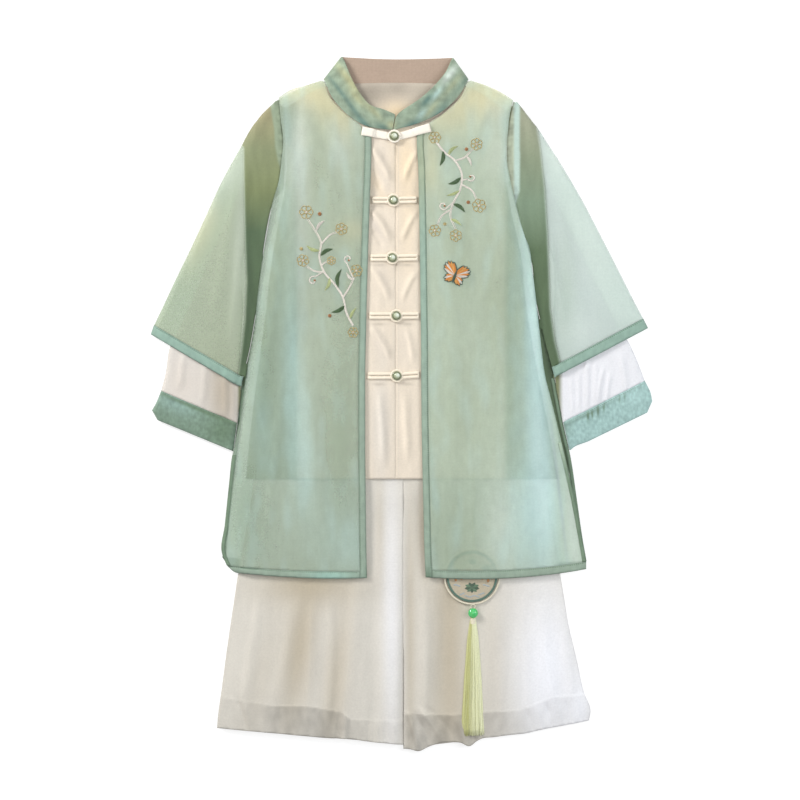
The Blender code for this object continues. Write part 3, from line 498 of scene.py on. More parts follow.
# Where the trousers' turned-up hem ends, from the wearer's right to left
HEM_TOP = ((-215, -352), (-203, -355), (-156, -363), (-110, -364), (-72, -371), (-60, -380),
           (2, -382), (4, -373), (60, -375), (98, -371), (140, -369), (154, -364), (180, -353),
           (230, -349))
SHIRT_CREASES = crease_table(
    (-40, 310, -12, 262, 3, 3, 5, 2.6), (-40, 284, -24, 250, 2, 3, 4, -1.3),
    (-44, 236, -12, 190, 4, 3, 5, 2.6), (-40, 210, -22, 184, 2, 3, 4, -1.3),
    (-40, 166, -14, 120, 3, 3, 5, 2.2), (-42, 96, -12, 48, 3, 3, 5, 2.4),
    (-28, 26, -22, -84, 2, 4, 6, 1.9), (22, 306, 2, 262, -2, 4, 3, 1.6),
    (20, 232, 0, 190, -2, 4, 3, 1.6), (20, 160, 0, 118, -2, 4, 3, 1.4),
    (4, 92, 14, 44, 2, 3, 4, 1.4), (2, 22, 8, -80, 1, 4, 5, 1.6),
)
ROBE_CREASES = crease_table(
    (-131, 330, -133, 60, 3, 8, 11, 2.6), (-118, 70, -92, -205, 3, 10, 12, 2.8),
    (-148, 190, -182, -60, 3, 6, 9, 1.8), (-140, 60, -168, -205, 2, 5, 8, 1.6),
    (-128, 352, -84, 270, 4, 6, 9, 1.8), (-112, 372, -70, 290, 3, 5, 8, 1.2),
    (-84, 330, -92, 150, 3, 7, 10, 1.4), (-80, 140, -76, -195, 4, 10, 15, 1.8),
    (-60, 320, -58, 70, 2, 6, 10, 1.0), (-54, 60, -50, -200, 1, 4, 9, 1.0),
    (160, 240, 166, -90, 2, 7, 9, 2.2), (144, -60, 150, -205, 2, 9, 12, 2.4),
    (170, -100, 186, -205, 2, 5, 7, 1.6), (118, 310, 112, -20, 3, 7, 12, 1.6),
    (112, 366, 84, 300, -3, 8, 6, 1.4), (60, 260, 58, -180, 3, 9, 14, 1.6),
    (86, -20, 88, -205, 0, 10, 12, 1.4), (40, 100, 34, -205, 2, 5, 7, 0.8),
)
SLEEVE_CREASES = crease_table(
    (-200, 300, -262, 110, -6, 8, 14, 2.0), (-196, 290, -232, 80, 4, 7, 11, 1.8),
    (-194, 220, -208, 60, 3, 4, 7, 1.4), (-230, 250, -286, 110, -3, 6, 9, 1.2),
    (176, 310, 262, 120, 6, 14, 8, 2.0), (178, 290, 225, 90, -4, 10, 8, 1.8),
    (180, 220, 202, 70, -4, 7, 5, 1.4), (215, 260, 284, 110, 3, 9, 6, 1.2),
)
SHIRT_SLEEVE_CREASES = crease_table(
    (-262, 66, -268, 12, 1, 3, 5, 1.6), (-236, 56, -240, -10, 1, 4, 5, 1.6),
    (-214, 46, -212, -22, 1, 3, 5, 2.0), (-204, 30, -203, -26, 1, 2, 3, 1.0),
    (262, 64, 270, 8, 1, 3, 4, 1.8), (252, 40, 246, -4, -1, 2, 2, 1.6),
    (244, 48, 236, -8, -2, 2, 3, 1.9), (232, 56, 231, -10, 1, 2, 4, 1.5),
    (222, 60, 222, -14, 1, 3, 4, 2.0), (212, 44, 212, -16, 1, 2, 3, 1.2),
    (202, 36, 205, -20, 1, 2, 3, 1.4),
)
COLLAR_CREASES = crease_table(
    (-46, 372, -30, 340, 1, 2, 3, 0.5), (-60, 392, -48, 356, 1, 2, 3, 0.4),
    (-30, 352, -22, 330, 1, 2, 3, 0.5), (30, 366, 16, 338, 1, 3, 2, 0.5),
    (40, 376, 26, 344, 1, 3, 2, 0.5), (54, 396, 40, 356, 1, 3, 2, 0.4),
    (12, 350, 6, 332, 1, 2, 2, 0.4),
)

# Painted light and shade on the fronts: STRAW is warm light on the shoulders, PALE, AQUA and
# AQUA_BRIGHT are highlights along the folds and side edges, SAGE and MOSS are shade in the folds
# and by the edges
RIGHT_TINTS = tint_table(
    (-118, 376, 60, 22, -25, STRAW, 0.85), (-76, 346, 22, 30, 0, STRAW, 0.5),
    (-124, 300, 14, 56, 0, PALE, 0.75), (-122, 200, 12, 60, 0, PALE, 0.30),
    (-60, 206, 20, 14, 0, STRAW, 0.35), (-60, 120, 18, 90, 0, SAGE, 0.4),
    (-131, 60, 12, 90, 0, AQUA, 0.45), (-120, -50, 16, 80, 4, AQUA, 0.5),
    (-62, -170, 34, 40, 0, AQUA, 0.35), (-74, -36, 19, 110, 0, MOSS, 0.7),
    (-172, 60, 13, 130, 4, MOSS, 0.55), (-166, -40, 14, 40, 4, AQUA, 0.25),
    (-184, -140, 20, 60, 4, MOSS, 0.8), (-98, 270, 16, 60, 10, SAGE, 0.4),
    (-74, 305, 14, 26, 0, PALE, 0.3),
)
LEFT_TINTS = tint_table(
    (106, 374, 60, 26, 25, STRAW, 0.9), (56, 350, 24, 26, 0, STRAW, 0.4),
    (116, 300, 20, 30, 0, PALE, 0.3), (148, 200, 8, 60, -6, AQUA, 0.4),
    (164, 0, 13, 190, 2, AQUA, 0.9), (154, -130, 26, 70, 0, AQUA, 0.75),
    (156, 90, 6, 70, 5, AQUA_BRIGHT, 0.9), (166, -64, 14, 100, 5, AQUA_BRIGHT, 1.0),
    (189.6, -111, 2.0, 80, 6.6, BLUE_GREY, 0.7), (118, -150, 20, 60, 0, PALE, 0.35),
    (114, 130, 18, 80, 0, SAGE, 0.5), (72, -6, 22, 60, 0, SAGE, 0.35),
    (66, 180, 18, 60, 0, SAGE, 0.3), (64, -160, 26, 60, 0, SAGE, 0.6),
    (72, 200, 20, 90, 0, SAGE, 0.3), (206, -160, 9, 60, 6, PALE, 0.6),
    (34, 285, 12, 46, 0, STRAW, 0.4), (118, 350, 18, 20, 0, PALE, 0.25),
)
# Painted light and shade on the sleeves: PALE highlights, STRAW warm light, MOSS and MINT_LEFT
# darker patches of shade
SLEEVE_TINTS_RIGHT = tint_table(
    (-212, 262, 12, 44, -30, PALE, 0.45), (-238, 210, 14, 60, -24, STRAW, 0.35),
    (-194, 200, 8, 90, -4, PALE, 0.25), (-268, 140, 24, 60, 0, MOSS, 0.35),
    (-218, 255, 16, 30, 0, MOSS, 0.45),
)
SLEEVE_TINTS_LEFT = tint_table(
    (230, 200, 60, 90, 0, PALE, 0.3), (196, 120, 14, 80, 0, MINT_LEFT, 0.5),
    (182, 300, 12, 30, 30, PALE, 0.6), (214, 84, 24, 20, 26, PALE, 0.4),
)
# Painted shade on the back by the neck, inside the collar
BACK_TINTS = (
    Tint(-4, 386, 60, 12, 0, TAUPE, 1.0),
)
# Painted light and shade on the trousers: SAND is painted shade in the folds and under the robe's
# hem, SNOW painted light on the folds' lit sides and on the side towards the light
TROUSER_TINTS = tint_table(
    (-122, -290, 18, 90, -8, SAND, 0.85), (-78, -330, 14, 90, -6, SAND, 0.6),
    (-168, -330, 16, 90, -12, SAND, 0.25), (-110, -218, 60, 26, 0, SAND, 0.95),
    (10, -280, 7, 170, 0, SAND, 0.6), (58, -290, 20, 130, 0, SAND, 0.85),
    (62, -370, 30, 40, 0, SAND, 0.35), (112, -310, 16, 90, 0, SAND, 0.3),
    (-12, -260, 12, 170, 0, SNOW, 0.6), (176, -325, 44, 120, 0, SNOW, 1.0),
    (214, -365, 20, 46, 0, SNOW, 0.9), (66, -230, 26, 30, 0, SAND, 0.55),
    (28, -150, 10, 60, 0, SAND, 0.8), (-26, -150, 6, 60, 0, SAND, 0.35),
)
# Painted shade on the shirt front: GREY in the placket's slit below the top buttons, LILAC along
# its folds
SHIRT_TINTS = tint_table(
    (-7, 304, 2.0, 7, 0, GREY, 0.8), (-7, 233, 1.8, 5, 0, GREY, 0.5),
    (-7, 163, 1.8, 5, 0, GREY, 0.5), (-22, 280, 8, 50, 10, LILAC, 0.35),
    (-30, 262, 6, 24, 30, WARM, 0.35), (6, 290, 14, 34, 0, WARM, 0.6),
    (8, 230, 14, 80, 0, WARM, 0.35), (-30, 210, 6, 20, 30, LILAC, 0.6),
    (-22, 150, 6, 24, 20, LILAC, 0.3), (-26, 70, 8, 26, 20, LILAC, 0.4),
    (4, 70, 8, 26, 0, LILAC, 0.25), (-25, -30, 12, 70, 0, SNOW_CREAM, 0.55),
)
# The shade under the straps of the lower frogs, to the right and left of their buttons
SHIRT_TINTS += tuple(Tint(x, y, half, 1.7, 0, GREY, 0.6)
                     for y in (236, 165, 94, 22) for x, half in ((-27, 8), (7, 7)))
# Painted shade inside the neck, and a warmer patch below it
NECK_TINTS = tint_table(
    (-40, 372, 34, 22, 0, GREY_NECK, 0.95), (34, 372, 34, 24, 0, GREY, 0.95),
    (-4, 378, 18, 12, 0, GREY_NECK, 0.7), (-6, 348, 18, 13, 0, WARM, 0.9),
)
# Painted shade on the right shirt sleeve, greyest beside the robe's side
RIGHT_SHIRT_SLEEVE_TINTS = tint_table(
    (-214, 14, 22, 60, 0, GREY, 1.0), (-264, 20, 30, 60, 0, LILAC, 0.6),
)
# Gathers along each cuff's seam to the sleeve, painted dark as their shade, and painted light and
# shade towards its ends
CUFF_TINTS_RIGHT = tint_table(
    (-270, 0, 28, 12, -22, CUFF_LIGHT, 0.45), (-214, -34, 18, 18, 0, CUFF_DARK, 0.65),
    (-244, -8, 60, 2.6, -22.5, CUFF_DARK, 0.85),
)
CUFF_TINTS_LEFT = tint_table(
    (224, -14, 30, 2.0, 26.5, CUFF_DARK, 0.45), (224, -16, 1.4, 6, 0, CUFF_DARK, 0.95),
    (229, -14, 1.2, 5, 4, CUFF_DARK, 0.95), (236, -10, 1.4, 7, 0, CUFF_DARK, 0.9),
    (243, -6, 1.2, 5, -4, CUFF_DARK, 0.8), (262, 4, 1.2, 4, 0, CUFF_DARK, 0.7),
    (268, 7, 1.2, 4, 0, CUFF_DARK, 0.7), (198, -30, 8, 12, 0, CUFF_DARK, 0.3),
    (280, 6, 14, 10, 0, AQUA, 0.2),
)
HEM_TINTS = tint_table(
    (-86, -210, 26, 12, 0, BINDING_LIGHT, 0.9), (-38, -208, 6, 10, 0, BINDING_DEEP, 0.7),
    (32, -208, 6, 10, 0, BINDING_DEEP, 0.7), (-44, 120, 6, 120, 0, BINDING_LIGHT, 0.15),
    (26, 160, 6, 150, 0, BINDING_LIGHT, 0.3), (26, 292, 8, 56, 0, KHAKI, 0.4),
)
# Painted sheen on the collar: PALE and AQUA highlights, KHAKI warm sheen, TEAL shade along its
# folds and lower edges
COLLAR_TINTS = tint_table(
    (-62, 386, 26, 5, -52, KHAKI, 0.8), (-34, 350, 14, 4, -45, KHAKI, 0.5),
    (-74, 374, 24, 2.5, -52, TEAL, 0.7), (-44, 334, 18, 4, -45, TEAL, 0.85),
    (-22, 330, 10, 4, -20, TEAL, 0.7), (-12, 333, 5, 5, 0, KHAKI, 0.6),
    (58, 394, 13, 4, 52, PALE, 0.7), (62, 382, 16, 3, 52, KHAKI, 0.35),
    (42, 370, 10, 3, 52, AQUA, 0.45), (-54, 366, 14, 4, -50, KHAKI, 0.6),
    (-58, 352, 14, 2.5, -50, TEAL, 0.6), (36, 352, 12, 2.5, 52, KHAKI, 0.4),
    (30, 362, 12, 4, 50, TEAL, 0.85), (44, 346, 20, 4, 52, TEAL, 0.75),
    (14, 334, 14, 4, 25, TEAL, 0.85), (24, 346, 7, 3, 45, AQUA, 0.4),
    (76, 386, 18, 3, 52, TEAL, 0.4),
)

# The troughs between the body and the sleeves' folds, painted dark as deep shade, from the top
# down: each lies between the crease, where the sleeve rises again, and the armhole's seam
CREASE_RIGHT = ((-216, 332), (-190, 306), (-189, 252), (-188, 199), (-186, 145), (-188, 98),
                (-192, 62), (-197, 26))
CREASE_LEFT = ((195, 352), (163, 330), (167, 303), (172, 255), (175, 206), (177, 157),
               (178.5, 113), (184, 74), (191, 46))
SEAM_LINE_RIGHT = ((-148, 363), (-143, 327), (-142, 303), (-144, 273), (-152, 243))
SEAM_LINE_LEFT = ((132, 357), (127, 303), (129, 279), (134, 255), (142, 213))
# How wide the armholes' seams show, and the y where they end
SEAM_BAND_RIGHT = ((-150, 240), (0, 272), (7, 290), (11, 306), (12, 370))
SEAM_BAND_LEFT = ((0, 236), (9, 254), (14.5, 279), (16.5, 300), (11.5, 357), (11.5, 370))
# The left seam's pale strip is a painted highlight
SEAM_STRIP_LEFT = 133.5         # from here outwards, the left seam is the pale strip
# Painted light and shade from the slopes of the shirt's creases
SLOPE_SHADE = 0.30              # how much a crease's slope lightens or darkens the shirt
SLOPE_MOST = 0.5
# The puckers by the body's edge are painted darker, as their shade
PUCKER_REACH = 7.0              # how far the body's edge puckers the seam beside it
# The troughs' painted shade at each y, from the top down
TROUGH_RIGHT = ((345, (0.330, 0.310, 0.180)), (303, (0.270, 0.305, 0.172)),
                (255, (0.222, 0.262, 0.127)), (205, TROUGH_DEEP))
TROUGH_LEFT = ((340, (0.370, 0.390, 0.280)), (290, (0.270, 0.325, 0.220)),
               (240, (0.225, 0.310, 0.215)), (207, (0.165, 0.235, 0.150)), (182, TROUGH_DEEP))
# The side edges of the robe's fronts, beyond which its back shows, painted in deep shade
FRONT_SIDE_RIGHT = ((-152, 243), (-163, 187), (-172, 135), (-177, 87), (-185.5, 39), (-194, -21),
                    (-200, -66), (-206, -117))
FRONT_SIDE_LEFT = ((160, 135), (164, 99), (168, 63), (172, 33), (185.5, -21), (190, -48),
                   (197, -85), (203.5, -121))
# From this share of painted shade on, the back counts as folded double and is made nearly opaque
DOUBLED = 0.5                   # the back's share from which its cloth counts as folded double


def no_relief(x, y):
    return np.zeros_like(x)


def trousers_relief(x, y):
    """Folds of the legs, which grow from the robe's hem down and between the robe's edges."""
    free = np.maximum(ease((-190.0 - y) / 40.0),
                      ease((x + 33.0) / 8.0) * ease((20.0 - x) / 8.0) * ease((-96.0 - y) / 20.0))
    waves = 0.7 * ripple(x, y, 14.0, 90.0, 3) + 0.35 * ripple(x, y, 7.0, 30.0, 4)
    hem = 0.5 * ease((line_y(HEM_TOP, x) - y) / 1.5)
    return free * (1.4 + relief(TROUSER_CREASES, x, y) + waves) + relief(HEM_CREASES, x, y) + hem


def shirt_relief(x, y):
    """Creases of the shirt front, where it shows between the robe's edges."""
    waves = 0.4 * ripple(x, y, 12.0, 24.0, 5) + 0.2 * ripple(x, y, 6.0, 12.0, 6)
    shown = ease((x + 40.0) / 6.0) * ease((24.0 - x) / 6.0)
    return shown * (0.3 + relief(SHIRT_CREASES, x, y) + waves)


def robe_relief(x, y):
    waves = 0.5 * ripple(x, y, 26.0, 120.0, 7) + 0.2 * ripple(x, y, 9.0, 40.0, 8)
    return 1.6 + relief(ROBE_CREASES, x, y) + waves


def robe_sleeve_relief(x, y):
    waves = 0.5 * ripple(x, y, 24.0, 90.0, 9) + 0.2 * ripple(x, y, 9.0, 30.0, 10)
    return 0.6 + relief(SLEEVE_CREASES, x, y) + waves


def shirt_sleeve_relief(x, y):
    waves = 0.3 * ripple(x, y, 8.0, 30.0, 11)
    return relief(SHIRT_SLEEVE_CREASES, x, y) + waves


def evenly(base, tints=()):
    """A painter that mixes tints over a base colour."""
    return lambda x, y: tinted(base, tints, x, y)


def clouded(base, tints):
    """A painter for sheer cloth: tints over a base colour, with faint aqua clouds and streaks, and
    painted shade by the right side's edge, which turns down into the trough."""
    def colour(x, y):
        streaks = 0.05 * ripple(x, y, 4.0, 16.0, 21) + 0.05 * ripple(x, y, 9.0, 11.0, 22)
        # Painted shade along the right front's side edge
        inside = x - line_x(FRONT_SIDE_RIGHT, y)
        streaks = streaks - 0.28 * ease(1.0 - inside / 7.0) * ease((y + 110.0) / 30.0) * (x < 0.0)
        cloud = 0.35 * np.maximum(0.0, ripple(x, y, 12.0, 40.0, 23))
        return mixed(tinted(base, tints, x, y), AQUA, cloud) * (1.0 + streaks)[:, None]
    return colour


def line_x(line, y):
    """The x of a line that runs down the set, at each y."""
    line = np.array(line[::-1], float)
    return np.interp(y, line[:, 1], line[:, 0])


def line_y(line, x):
    """The y of a line that runs across the set, at each x."""
    line = np.array(line, float)
    return np.interp(x, line[:, 0], line[:, 1])


def mixed(colour, other, share):
    return colour + (np.asarray(other) - colour) * share[:, None]


def stops_at(stops, y):
    """The colour of a table of stops at each y."""
    heights, colours = zip(*stops[::-1])
    return np.column_stack([np.interp(y, heights, channel) for channel in zip(*colours)])


def trough_depth(x, y):
    """How far a point lies inside the trough beside the body, from the sleeve's crease."""
    return np.where(x < 0.0, x - line_x(CREASE_RIGHT, y), line_x(CREASE_LEFT, y) - x)


def trough_share(x, y):
    """How much of a point's colour is the trough's painted shade, from 0 to 1. The left one starts
    softly.
    """
    depth = trough_depth(x, y)
    return np.where(x < 0.0, ease((depth + 1.0) / 3.5), ease((depth + 4.0) / 7.0))


def back_shade_share(x, y):
    """How much painted deep shade a point of the robe's back takes, where it lies beside its fronts
    under the sleeves' edges.
    """
    past = np.where(x < 0.0, line_x(FRONT_SIDE_RIGHT, y) - x, x - line_x(FRONT_SIDE_LEFT, y))
    return ease((past + 2.0) / 2.0) * ease((y + 100.0) / 30.0) * ease((150.0 - y) / 10.0)


def robe_sleeve_colour(x, y):
    """The sleeves' mint, painted lighter on the wearer's left, with painted deep shade in the
    trough beside the body, and the armhole's seam, with a painted highlight on its left strip and
    painted shade in its puckers.
    """
    right = tinted(MINT_SLEEVE_RIGHT, SLEEVE_TINTS_RIGHT, x, y)
    left = tinted(MINT_SLEEVE_LEFT, SLEEVE_TINTS_LEFT, x, y)
    on_left = x > 0.0
    colour = np.where(on_left[:, None], left, right)
    share = trough_share(x, y)
    shade = np.where(on_left[:, None], stops_at(TROUGH_LEFT, y), stops_at(TROUGH_RIGHT, y))
    shade = shade * (1.0 + 0.12 * ripple(x, y, 6.0, 30.0, 14))[:, None]
    colour = mixed(colour, shade, share)
    reach = np.where(on_left, x - line_x(SEAM_LINE_LEFT, y), line_x(SEAM_LINE_RIGHT, y) - x)
    wide = np.where(on_left, line_x(SEAM_BAND_LEFT[::-1], y), line_x(SEAM_BAND_RIGHT[::-1], y))
    band = ease((wide - reach) / 3.0) * ease(wide)
    # The left seam's pale strip, a painted highlight
    strip = mixed(np.tile(SEAM_CLOTH_LEFT, (len(x), 1)), SEAM_LEFT,
                  ease((x - SEAM_STRIP_LEFT) / 3.0))
    seam = np.where(on_left[:, None], strip, np.array(SEAM_RIGHT))
    # Painted shade in the seam's puckers
    pucker = ease((PUCKER_REACH - reach) / 3.0) * (0.18 + 0.30 * ripple(x, y, 9.0, 4.0, 15))
    return mixed(colour, seam * (1.0 - pucker)[:, None], band)


def under_trough(base, tints=()):
    """A painter for the shirt, which is in deep shade under the troughs."""
    def colour(x, y):
        share = trough_share(x, y) * ease((np.abs(x) - 120.0) / 10.0)
        return mixed(tinted(base, tints, x, y), UNDER_SHADE, share)
    return colour


def creased_shirt(x, y):
    """The shirt front's colours, with painted light and shade on its creases' sides, a little
    lighter and darker by their slope.
    """
    slope = shirt_relief(x + 0.5, y) - shirt_relief(x - 0.5, y)
    shade = 1.0 + SLOPE_SHADE * np.clip(slope, -SLOPE_MOST, SLOPE_MOST)
    return under_trough(CREAM, SHIRT_TINTS)(x, y) * shade[:, None]


def back_colour(x, y):
    """The robe's back, with painted shade: taupe by the neck, inside the collar, and deep shade
    along its sides.
    """
    return mixed(tinted(MINT_BACK, BACK_TINTS, x, y), TROUGH_DEEP, back_shade_share(x, y))


def cuff_colour(base, gathers):
    """A painter for a cuff: mottled, with painted shade in the short gathers along its seam."""
    def colour(x, y):
        mottle = 1.0 + 0.20 * ripple(x, y, 3.5, 3.5, 16) + 0.16 * ripple(x, y, 1.6, 4.0, 17)
        return tinted(base, gathers, x, y) * mottle[:, None]
    return colour


def trouser_colour(x, y):
    """Ivory cotton with painted light and shade on its folds, darker where the hem is turned up,
    from its two layers and from painted shade.
    """
    colour = tinted(IVORY, TROUSER_TINTS, x, y)
    doubled = ease((line_y(HEM_TOP, x) - y) / 1.5)
    shade = line_y(HEM_SHADE, x) * (1.0 + 0.5 * ripple(x, y, 7.0, 12.0, 13))
    return colour * (1.0 - shade * doubled)[:, None]


def neck_rise(x, y):
    """How far the shirt's back reaches up over its even line, under the collar's lining."""
    return 7.0 * ease((y - 352.0) / 20.0)


def hem_drop(x, y):
    """How far the trousers' lower edge hangs under its even line, with the cloth above it."""
    drop = sum(dip * np.exp(-((x - middle) / half) ** 2) for middle, half, dip in HEM_DIPS)
    return drop * ease((-350.0 - y) / 60.0)


# ---------------------------------------------------------------------------------------------
# Materials
# ---------------------------------------------------------------------------------------------


class Finish:
    """A material that is built node by node."""

    def __init__(self, name):
        self.material = bpy.data.materials.new(name)
        self.material.use_nodes = True
        self.tree = self.material.node_tree
        self.shader = self.tree.nodes["Principled BSDF"]
        self.coordinates = self.node("ShaderNodeTexCoord").outputs["Object"]

    def node(self, kind, **settings):
        made = self.tree.nodes.new(kind)
        for key, value in settings.items():
            setattr(made, key, value)
        return made

    def link(self, output, entry):
        self.tree.links.new(output, entry)

    def set(self, **values):
        for key, value in values.items():
            self.shader.inputs[key.replace("_", " ")].default_value = value

    def math(self, operation, *values):
        made = self.node("ShaderNodeMath", operation=operation)
        for entry, value in zip(made.inputs, values):
            if isinstance(value, (int, float)):
                entry.default_value = value
            else:
                self.link(value, entry)
        return made.outputs[0]

    def noise(self, stretch, detail=2.0):
        """Noise with features of 1 / stretch metres along each axis."""
        place = self.node("ShaderNodeMapping")
        place.inputs["Scale"].default_value = stretch
        self.link(self.coordinates, place.inputs["Vector"])
        made = self.node("ShaderNodeTexNoise")
        made.inputs["Scale"].default_value = 1.0
        made.inputs["Detail"].default_value = detail
        self.link(place.outputs[0], made.inputs["Vector"])
        return made.outputs["Fac"]

    def threads(self, pitch, axis):
        """Ridges of threads that lie pitch metres apart."""
        made = self.node("ShaderNodeTexWave", wave_type="BANDS", bands_direction=axis)
        made.inputs["Scale"].default_value = math.pi / (10.0 * pitch)
        made.inputs["Distortion"].default_value = 0.6
        made.inputs["Detail"].default_value = 1.0
        made.inputs["Detail Scale"].default_value = 2.0
        self.link(self.coordinates, made.inputs["Vector"])
        return made.outputs["Fac"]

    def shade(self, colour, factor):
        """The base colour, multiplied by a factor."""
        made = self.node("ShaderNodeVectorMath", operation="SCALE")
        self.link(colour, made.inputs[0])
        self.link(factor, made.inputs["Scale"])
        self.link(made.outputs[0], self.shader.inputs["Base Color"])

    def bump(self, height, distance):
        made = self.node("ShaderNodeBump")
        made.inputs["Distance"].default_value = distance
        self.link(height, made.inputs["Height"])
        self.link(made.outputs[0], self.shader.inputs["Normal"])

    def tint(self):
        return self.node("ShaderNodeAttribute", attribute_name="tint").outputs["Color"]


def cloth_finish(name, pitch, weave, slub, roughness, sheen, alpha=1.0, crinkle=0.5):
    """Woven cloth: two sets of threads, uneven yarn, and small crinkles too fine to model."""
    finish = Finish(name)
    cross = finish.math("MULTIPLY", finish.threads(pitch, "X"), finish.threads(pitch, "Y"))
    yarn = finish.math("ADD", finish.noise((900.0, 40.0, 900.0)),
                       finish.noise((40.0, 900.0, 900.0)))
    mottle = finish.noise((28.0, 20.0, 28.0), 4.0)
    factor = finish.math("MULTIPLY_ADD", cross, weave, 1.0 - 0.3 * weave - slub - 0.04)
    factor = finish.math("MULTIPLY_ADD", yarn, slub, factor)
    factor = finish.math("MULTIPLY_ADD", mottle, 0.08, factor)
    grain = finish.noise((420.0, 420.0, 420.0), 2.0)
    factor = finish.math("MULTIPLY_ADD", finish.math("SUBTRACT", grain, 0.5), 0.16, factor)
    finish.shade(finish.tint(), factor)
    fine = finish.math("MULTIPLY", finish.noise((90.0, 60.0, 90.0), 3.0), crinkle)
    finish.bump(finish.math("MULTIPLY_ADD", cross, 0.03, fine), 0.0010)
    finish.set(Roughness=roughness, Sheen_Weight=sheen, Sheen_Roughness=0.4, Alpha=alpha)
    finish.shader.inputs["Specular IOR Level"].default_value = 0.25
    return finish.material


def solid_finish(name, roughness, coat=0.0, specular=0.5, grain=0.05, subsurface=0.0):
    """A smooth hard or silky surface with a slight grain, in the colours of its tint."""
    finish = Finish(name)
    speckle = finish.noise((400.0, 400.0, 400.0), 3.0)
    finish.shade(finish.tint(), finish.math("MULTIPLY_ADD", speckle, 2.0 * grain, 1.0 - grain))
    finish.set(Roughness=roughness, Coat_Weight=coat)
    finish.shader.inputs["Specular IOR Level"].default_value = specular
    finish.shader.inputs["Subsurface Weight"].default_value = subsurface
    finish.shader.inputs["Subsurface Scale"].default_value = 0.002
    return finish.material


def thread_finish(name, roughness):
    """Silk thread: fine ridges that follow each piece's own stitch attribute."""
    finish = Finish(name)
    stitch = finish.node("ShaderNodeAttribute", attribute_name="stitch").outputs["Fac"]
    ridge = finish.math("SINE", finish.math("MULTIPLY", stitch, 2.0 * math.pi))
    uneven = finish.noise((700.0, 700.0, 700.0))
    factor = finish.math("MULTIPLY_ADD", ridge, 0.10, 0.80)
    finish.shade(finish.tint(), finish.math("MULTIPLY_ADD", uneven, 0.3, factor))
    finish.bump(ridge, 0.00015)
    finish.set(Roughness=roughness, Sheen_Weight=0.3)
    return finish.material


SHEER_ALPHA = 0.42        # of each of the two faces that a ray passes through
MATERIALS = {
    "robe_sheer": cloth_finish("robe_sheer", 0.0007, 0.05, 0.06, 0.55, 0.2, SHEER_ALPHA, 0.35),
    "robe_binding": cloth_finish("robe_binding", 0.0006, 0.12, 0.10, 0.75, 0.2, 1.0, 0.4),
    "shirt_cotton": cloth_finish("shirt_cotton", 0.0006, 0.08, 0.04, 0.8, 0.2, 1.0, 0.5),
    "cuff_green": cloth_finish("cuff_green", 0.0008, 0.16, 0.12, 0.7, 0.3, 1.0, 0.4),
    "trouser_cotton": cloth_finish("trouser_cotton", 0.0006, 0.06, 0.04, 0.75, 0.2, 1.0, 0.6),
    "frog_satin": cloth_finish("frog_satin", 0.0005, 0.08, 0.05, 0.45, 0.3, 1.0, 0.2),
    "button_pearl": solid_finish("button_pearl", 0.18, coat=0.8, grain=0.25),
    "charm_cord": thread_finish("charm_cord", 0.5),
    "charm_disc": thread_finish("charm_disc", 0.6),
    "charm_piping": thread_finish("charm_piping", 0.6),
    "charm_bead": solid_finish("charm_bead", 0.08, coat=0.6, grain=0.08, subsurface=0.3),
    "charm_silk": thread_finish("charm_silk", 0.4),
}
# The sheer cloth where it is folded double and painted in deep shade, nearly opaque so that the
# painted shade shows dark
SHEER_DOUBLED = cloth_finish("robe_sheer_doubled", 0.0007, 0.05, 0.06, 0.6, 0.2, 0.85, 0.35)

# ---------------------------------------------------------------------------------------------
# Cloth pieces
# ---------------------------------------------------------------------------------------------
# spacing, wall and puff are in millimetres. puff is how much a folded band is rounded, and sewn
# lists the pieces that its edges meet, with how far away they may be.
Cloth = namedtuple("Cloth", "node spacing wall slot colour relief puff sewn")
Reach = namedtuple("Reach", "distance lap")
SEAM = Reach(1.2, 0.0)    # of a seam between two pieces that lie edge to edge
ARMHOLE = Reach(4.0, 0.0)           # of a sleeve to the body it is sewn to
TUCKED = Reach(2.0, 0.5)            # of a sleeve's inner edge to the back, under which it tucks
BESIDE_BACK_RIGHT = (("robe_back", TUCKED), ("robe_back_slit_binding_right", TUCKED))
BESIDE_BACK_LEFT = (("robe_back", TUCKED), ("robe_back_slit_binding_left", TUCKED))

RIGHT_CLOTH = clouded(MINT_RIGHT, RIGHT_TINTS)
LEFT_CLOTH = clouded(MINT_LEFT, LEFT_TINTS)
BOUND = evenly(BINDING, HEM_TINTS)
BOUND_SLEEVE = evenly(BINDING_SLEEVE)
BOUND_SLIT = evenly(BINDING_SLIT)
BOUND_SLIT_LEFT = evenly(BINDING_SLIT, (Tint(190, -44, 20, 30, 0, SLIT_TOP, 1.0),))
PLAIN_SHIRT = under_trough(CREAM, NECK_TINTS)
SHIRT_CLOTH = creased_shirt

